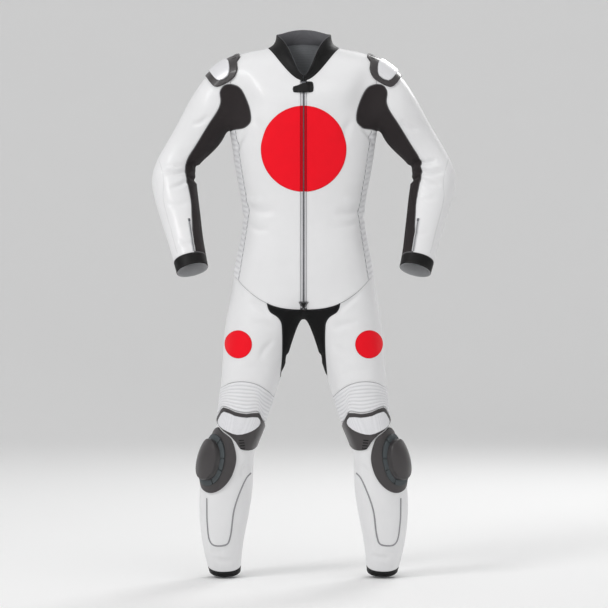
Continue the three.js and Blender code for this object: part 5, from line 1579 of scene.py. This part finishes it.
def add_armour(panel_names, under, over, thick, ribs):
    """A dark plate with ribs and a silver one on it, on both sides: each has a name and an outline."""
    low, high = (
        laid_on(panel_names, outline_field(outline, OUTLINE_STEPS), 1) for _, outline in (under, over)
    )
    for side, end in ENDING.items():
        plate(under[0] + end, low, PAD_LIFT, thick, ["armour_plastic", "black_leather"], ribs, side)
        plate(over[0] + end, high, 2 * PAD_LIFT + thick, PLATE_THICK, ["silver_plate"], (), side)


def add_shoulders():
    ribs = bars(CUP_BARS, PAD_LIFT + CUP_THICK, **CUP_BAR)
    add_armour(SHOULDER, ("shoulder_cup", CUP_FRAME), ("shoulder_plate", CUP_PLATE), CUP_THICK, ribs)


def add_knees():
    ribs = bars(FLAP_BARS, PAD_LIFT + FLAP_THICK, **FLAP_BAR)
    add_armour(KNEE_FRONT, ("knee_flap", KNEE_FLAP), ("knee_shield", KNEE_SHIELD), FLAP_THICK, ribs)


def slider_axes():
    """The knee slider's directions: outward, level, and its oval's short and long axes."""
    turn, rise, lean = (math.radians(SLIDER[key]) for key in ("turn", "rise", "lean"))
    out = np.array([math.sin(turn) * math.cos(rise), -math.cos(turn) * math.cos(rise), math.sin(rise)])
    level = np.array([math.cos(turn), math.sin(turn), 0])
    steep = -np.cross(level, out)
    across = level * math.cos(lean) + steep * math.sin(lean)
    up = steep * math.cos(lean) - level * math.sin(lean)
    return out, level, across, up


def oval_field(oval):
    """Distance from an oval on the knee, below 0 inside it."""
    out, level, across, up = slider_axes()

    def field(points):
        gap = points - level * oval.across - np.array(SLIDER["centre"])
        power = SLIDER["power"]
        shares = np.abs(gap @ across / oval.wide) ** power + np.abs(gap @ up / oval.tall) ** power
        return np.maximum((shares ** (1 / power) - 1) * min(oval.wide, oval.tall), -(gap @ out))

    return field


RING_CUTS = [18, 63, 108, 153]  # degrees round the slider of its lines, each cutting both sides
RING_NOTCH = 1.4
RING_UNDER_PUCK = 6
RING_BED = {"inset": 2, "low": 1.6}  # the ring's floor, which shows in its notches
SMALLEST_SEGMENT = 20  # triangles
PUCK_EDGE = [(4.0, 0), (2.2, 0.5), (0.9, 1.8), (0, 4.2)]


def ring_segment(first, last, ring, puck):
    """The field of the ring's part between two directions, in radians."""
    _, _, across, up = slider_axes()

    def field(points):
        gap = points - np.array(SLIDER["centre"])
        u, v = gap @ across, gap @ up
        before = u * math.sin(first) - v * math.cos(first) + RING_NOTCH / 2
        after = v * math.cos(last) - u * math.sin(last) + RING_NOTCH / 2
        return np.maximum.reduce([ring(points), np.maximum(before, after), -puck(points) - RING_UNDER_PUCK])
    return field


def make_ring(low, ring, puck):
    """The slider's ring: a bed with a raised segment between each two of its lines."""
    turns = [math.radians(cut + half) for half in (0, 180, 360) for cut in RING_CUTS]
    made = []
    for first, last in zip(turns[: 2 * len(RING_CUTS)], turns[1:]):
        patch = laid_on(KNEE, ring_segment(first, last, ring, puck), 1)
        if len(patch.faces) > SMALLEST_SEGMENT:
            made.append(shell(patch, above_skin(low + RING_THICK), above_skin(low), MOULDED_EDGE, 0))
    whole = oval_field(SLIDER_RING)
    bed = laid_on(KNEE, lambda p: np.maximum(ring(p), 0) + whole(p) + RING_BED["inset"], 1)
    made.append(shell(bed, above_skin(low + RING_THICK - RING_BED["low"]), above_skin(low), MOULDED_EDGE, 0))
    return joined(made)


def make_puck(low, field):
    """The slider's domed puck."""
    out, _, across, up = slider_axes()

    def top(points, normals):
        gap = points - np.array(SLIDER["centre"])
        fall = PUCK["dome"] * ((gap @ across / SLIDER_PUCK.wide) ** 2 + (gap @ up / SLIDER_PUCK.tall) ** 2)
        return points + normals * low + out * (PUCK["thick"] - fall)[:, None]

    return shell(laid_on(KNEE, field, 1), top, above_skin(low), PUCK_EDGE, inside=0)


def add_knee_sliders():
    """The knee's slider: a base, a ring in segments, and a domed puck, all clear of the flap."""
    flap = outline_field(KNEE_FLAP, OUTLINE_STEPS)
    fields = [oval_field(oval) for oval in (SLIDER_BASE, SLIDER_RING, SLIDER_PUCK)]
    base_field, ring_field = (lambda p, f=f: np.maximum(f(p), FLAP_CLEARANCE - flap(p)) for f in fields[:2])
    base = laid_on(KNEE, base_field, 1)
    low = 2 * PAD_LIFT + BASE_THICK
    ring = make_ring(low, ring_field, fields[2])
    puck = make_puck(low + RING_THICK + PAD_LIFT, fields[2])
    for side, end in ENDING.items():
        plate("slider_base" + end, base, PAD_LIFT, BASE_THICK, ["armour_plastic"], (), side)
        piece = add_object("slider_ring" + end, on_side(ring, side), ["grey_rubber"])
        declare(piece, "grey_rubber", "slider_ring" + end)
        piece = add_object("slider_puck" + end, on_side(puck, side), ["armour_plastic"])
        declare(piece, "armour_plastic", "slider_puck" + end)


# Top-stitching

SEWN = {
    "pale_thread": ["front", "sleeve_front", "sleeve_back", "thigh", "shin", "leg_back", "back"],
    "dark_thread": ["cuff", "hem", "collar", "stretch", "crotch_panel"],
}
SEWN_SLOT = {"pale_thread": "white_leather", "dark_thread": "black_leather"}
TACKS = {"steps": 6, "pitch": 5.5}


def add_seams():
    """Rows of thread just inside the panels' edges: a piece for each side, and one for the middle."""
    part = stitch_part()
    pitch = bpy.context.scene.race_suit.stitch / MM
    for thread, kinds in SEWN.items():
        for end in [*ENDING.values(), "_middle"]:
            middle = end == "_middle"
            names = [kind if middle else kind + end for kind in kinds if (kind in CENTRED) == middle]
            rows = []
            for name in names:
                rows += stitch_rows(panels()[name], part, on_cloth(0, STITCH["sink"]), pitch, STITCH["inset"])
            declare(add_object(thread + end, joined(rows), [thread]), SEWN_SLOT[thread])


def add_elbow_tacks():
    """A row of long tacks down the front of each sleeve."""
    part, rows = stitch_part(), []
    for side in (LEFT, RIGHT):
        points, normals = lay_line("front", ELBOW_TACKS, side, TACKS["steps"])
        line = resampled(points + normals * STITCH["sink"], normals, TACKS["pitch"], closed=False)
        rows.append(scattered(part, *line))
    declare(add_object("elbow_tacks", joined(rows), ["dark_thread"]), "white_leather")


# Stage

STAGE = {"below": 0.004, "radius": 9.0, "height": 7.0, "curve": 3.0, "sides": 96, "steps": 16}
CAMERA = {"place": (0.001, -6.0, -0.677), "lens": 134.6}
Lamp = namedtuple("Lamp", "name place size power")
LAMPS = [
    Lamp("key", (-3.4, -3.6, 2.6), 1.6, 96),
    Lamp("fill", (2.4, -5.2, 0.4), 3.0, 10),
    Lamp("top", (0.4, -1.0, 3.2), 2.2, 20),
    Lamp("rim", (1.8, 3.4, 2.0), 1.6, 60),
]
TARGET = (0, 0, -0.7)
BACKDROP = {"white": 0.92, "rough": 0.9}
SKY = 0.58


def select_where(mesh_object, kind, test):
    """Goes into edit mode with the faces or edges selected whose corners all pass a test."""
    bpy.ops.object.mode_set(mode="EDIT")
    bpy.ops.mesh.select_mode(type=kind)
    bpy.ops.mesh.select_all(action="DESELECT")
    bpy.ops.object.mode_set(mode="OBJECT")
    mesh = mesh_object.data
    for item in mesh.polygons if kind == "FACE" else mesh.edges:
        item.select = all(test(mesh.vertices[i].co) for i in item.vertices)
    bpy.ops.object.mode_set(mode="EDIT")


def add_backdrop():
    """A round floor that curves up into a wall, far out on all sides."""
    bpy.ops.object.select_all(action="DESELECT")
    floor = CAD_BOX[0][2] - STAGE["below"]
    top = floor + STAGE["height"]
    bpy.ops.mesh.primitive_cylinder_add(vertices=STAGE["sides"], radius=STAGE["radius"],
                                        depth=STAGE["height"], location=(0, 0, (floor + top) / 2))
    sweep = bpy.context.object
    sweep.name = "backdrop"
    bpy.ops.object.transform_apply(location=True)
    select_where(sweep, "FACE", lambda place: place.z > top - MM)
    bpy.ops.mesh.delete(type="FACE")
    bpy.ops.object.mode_set(mode="OBJECT")
    select_where(sweep, "EDGE", lambda place: place.z < floor + MM)
    bpy.ops.mesh.bevel(offset=STAGE["curve"], segments=STAGE["steps"], affect="EDGES")
    bpy.ops.object.mode_set(mode="OBJECT")
    material = bpy.data.materials.new("backdrop")
    material.use_nodes = True
    shader = material.node_tree.nodes["Principled BSDF"]
    shader.inputs["Base Color"].default_value = (*[BACKDROP["white"]] * 3, 1)
    shader.inputs["Roughness"].default_value = BACKDROP["rough"]
    sweep.data.materials.append(material)
    finish_mesh(sweep)


def add_lights():
    for lamp in LAMPS:
        bpy.ops.object.light_add(type="AREA", location=lamp.place)
        light = bpy.context.object
        light.name = lamp.name
        light.data.size, light.data.energy = lamp.size, lamp.power
        light.rotation_euler = (Vector(TARGET) - light.location).to_track_quat("-Z", "Y").to_euler()
    world = bpy.data.worlds.new("studio")
    world.use_nodes = True
    world.node_tree.nodes["Background"].inputs["Color"].default_value = (1, 1, 1, 1)
    world.node_tree.nodes["Background"].inputs["Strength"].default_value = SKY
    bpy.context.scene.world = world
    bpy.context.scene.view_settings.view_transform = "Standard"


def add_camera():
    bpy.ops.object.camera_add(location=CAMERA["place"], rotation=(math.pi / 2, 0, 0))
    camera = bpy.context.object
    camera.data.lens = CAMERA["lens"]
    bpy.context.scene.camera = camera


# Add-on

class RaceSuitSettings(bpy.types.PropertyGroup):
    """Sizes and colours that a user would change."""

    creases: FloatProperty(name="Creases", description="How deep the creases are, 1 for a worn suit",
                           default=1.0)
    stitch: FloatProperty(name="Stitch", description="Distance from one stitch to the next", default=0.0042,
                          unit="LENGTH", subtype="DISTANCE")
    leather: FloatVectorProperty(name="Leather", description="Colour of the main leather", subtype="COLOR",
                                 default=linear(LOOKS["white_leather"].colour))
    accent: FloatVectorProperty(name="Discs", description="Colour of the leather discs", subtype="COLOR",
                                default=linear(LOOKS["red_leather"].colour))
    stretch: FloatVectorProperty(name="Stretch fabric", description="Colour of the stretch panels",
                                 subtype="COLOR", default=linear(LOOKS["stretch_fabric"].colour))


class RACESUIT_OT_materials(bpy.types.Operator):
    """Makes the leather, fabric and armour materials."""

    bl_idname = "race_suit.materials"
    bl_label = "Materials"

    def execute(self, context):
        make_materials(context.scene.race_suit)
        return {"FINISHED"}


class RACESUIT_OT_leather(bpy.types.Operator):
    """Cuts and shapes the white leather panels."""

    bl_idname = "race_suit.leather"
    bl_label = "Leather panels"

    def execute(self, context):
        add_panels("white_leather")
        return {"FINISHED"}


class RACESUIT_OT_fabric(bpy.types.Operator):
    """Shapes the stretch fabric panels."""

    bl_idname = "race_suit.fabric"
    bl_label = "Stretch panels"

    def execute(self, context):
        add_panels("stretch_fabric", "black_stretch")
        return {"FINISHED"}


class RACESUIT_OT_pleats(bpy.types.Operator):
    """Shapes the ribbed panels at the waist and knees."""

    bl_idname = "race_suit.pleats"
    bl_label = "Pleated panels"

    def execute(self, context):
        add_panels("pleated_leather")
        return {"FINISHED"}


class RACESUIT_OT_bands(bpy.types.Operator):
    """Shapes the black bands."""

    bl_idname = "race_suit.bands"
    bl_label = "Collar, cuffs and hems"

    def execute(self, context):
        add_panels("black_leather")
        return {"FINISHED"}


class RACESUIT_OT_discs(bpy.types.Operator):
    """Lays the round patches on the chest and thighs."""

    bl_idname = "race_suit.discs"
    bl_label = "Discs"

    def execute(self, context):
        add_discs()
        return {"FINISHED"}


class RACESUIT_OT_front_zip(bpy.types.Operator):
    """Makes the front zip with its tapes, teeth and slider."""

    bl_idname = "race_suit.front_zip"
    bl_label = "Front zip"

    def execute(self, context):
        add_front_zip()
        return {"FINISHED"}


class RACESUIT_OT_small_zips(bpy.types.Operator):
    """Makes the zips of the sleeves and calves."""

    bl_idname = "race_suit.small_zips"
    bl_label = "Small zips"

    def execute(self, context):
        add_small_zips()
        return {"FINISHED"}


class RACESUIT_OT_tabs(bpy.types.Operator):
    """Lays the tab and the patch over the ends of the zip."""

    bl_idname = "race_suit.tabs"
    bl_label = "Neck tab and zip end"

    def execute(self, context):
        add_patches()
        return {"FINISHED"}


class RACESUIT_OT_piping(bpy.types.Operator):
    """Lays the piping on the shins."""

    bl_idname = "race_suit.piping"
    bl_label = "Shin piping"

    def execute(self, context):
        add_piping()
        return {"FINISHED"}


class RACESUIT_OT_shoulders(bpy.types.Operator):
    """Makes the shoulders' cups and plates."""

    bl_idname = "race_suit.shoulders"
    bl_label = "Shoulder armour"

    def execute(self, context):
        add_shoulders()
        return {"FINISHED"}


class RACESUIT_OT_knees(bpy.types.Operator):
    """Makes the flaps and shields over the knees."""

    bl_idname = "race_suit.knees"
    bl_label = "Knee armour"

    def execute(self, context):
        add_knees()
        return {"FINISHED"}


class RACESUIT_OT_sliders(bpy.types.Operator):
    """Makes the knees' sliders."""

    bl_idname = "race_suit.sliders"
    bl_label = "Knee sliders"

    def execute(self, context):
        add_knee_sliders()
        return {"FINISHED"}


class RACESUIT_OT_stitching(bpy.types.Operator):
    """Sews rows of stitches along the seams."""

    bl_idname = "race_suit.stitching"
    bl_label = "Stitching"

    def execute(self, context):
        add_seams()
        add_elbow_tacks()
        return {"FINISHED"}


class RACESUIT_OT_stage(bpy.types.Operator):
    """Sets the backdrop, lights and camera."""

    bl_idname = "race_suit.stage"
    bl_label = "Stage"

    def execute(self, context):
        add_backdrop()
        add_lights()
        add_camera()
        return {"FINISHED"}


OPERATORS = [
    RACESUIT_OT_materials, RACESUIT_OT_leather, RACESUIT_OT_fabric, RACESUIT_OT_pleats, RACESUIT_OT_bands,
    RACESUIT_OT_discs, RACESUIT_OT_front_zip, RACESUIT_OT_small_zips, RACESUIT_OT_tabs, RACESUIT_OT_piping,
    RACESUIT_OT_shoulders, RACESUIT_OT_knees, RACESUIT_OT_sliders, RACESUIT_OT_stitching, RACESUIT_OT_stage,
]


class RACESUIT_PT_panel(bpy.types.Panel):
    """Lists the suit's sizes, colours and operators."""

    bl_label = "Race suit"
    bl_idname = "RACESUIT_PT_panel"
    bl_space_type = "VIEW_3D"
    bl_region_type = "UI"
    bl_category = "Race suit"

    def draw(self, context):
        for name in RaceSuitSettings.__annotations__:
            self.layout.prop(context.scene.race_suit, name)
        for operator in OPERATORS:
            self.layout.operator(operator.bl_idname)


CLASSES = [RaceSuitSettings, *OPERATORS, RACESUIT_PT_panel]


def register():
    for made in CLASSES:
        bpy.utils.register_class(made)
    bpy.types.Scene.race_suit = PointerProperty(type=RaceSuitSettings)


def unregister():
    del bpy.types.Scene.race_suit
    for made in reversed(CLASSES):
        bpy.utils.unregister_class(made)


def main():
    register()
    for operator in OPERATORS:
        getattr(bpy.ops.race_suit, operator.bl_idname.split(".")[1])()


if __name__ == "__main__":
    main()
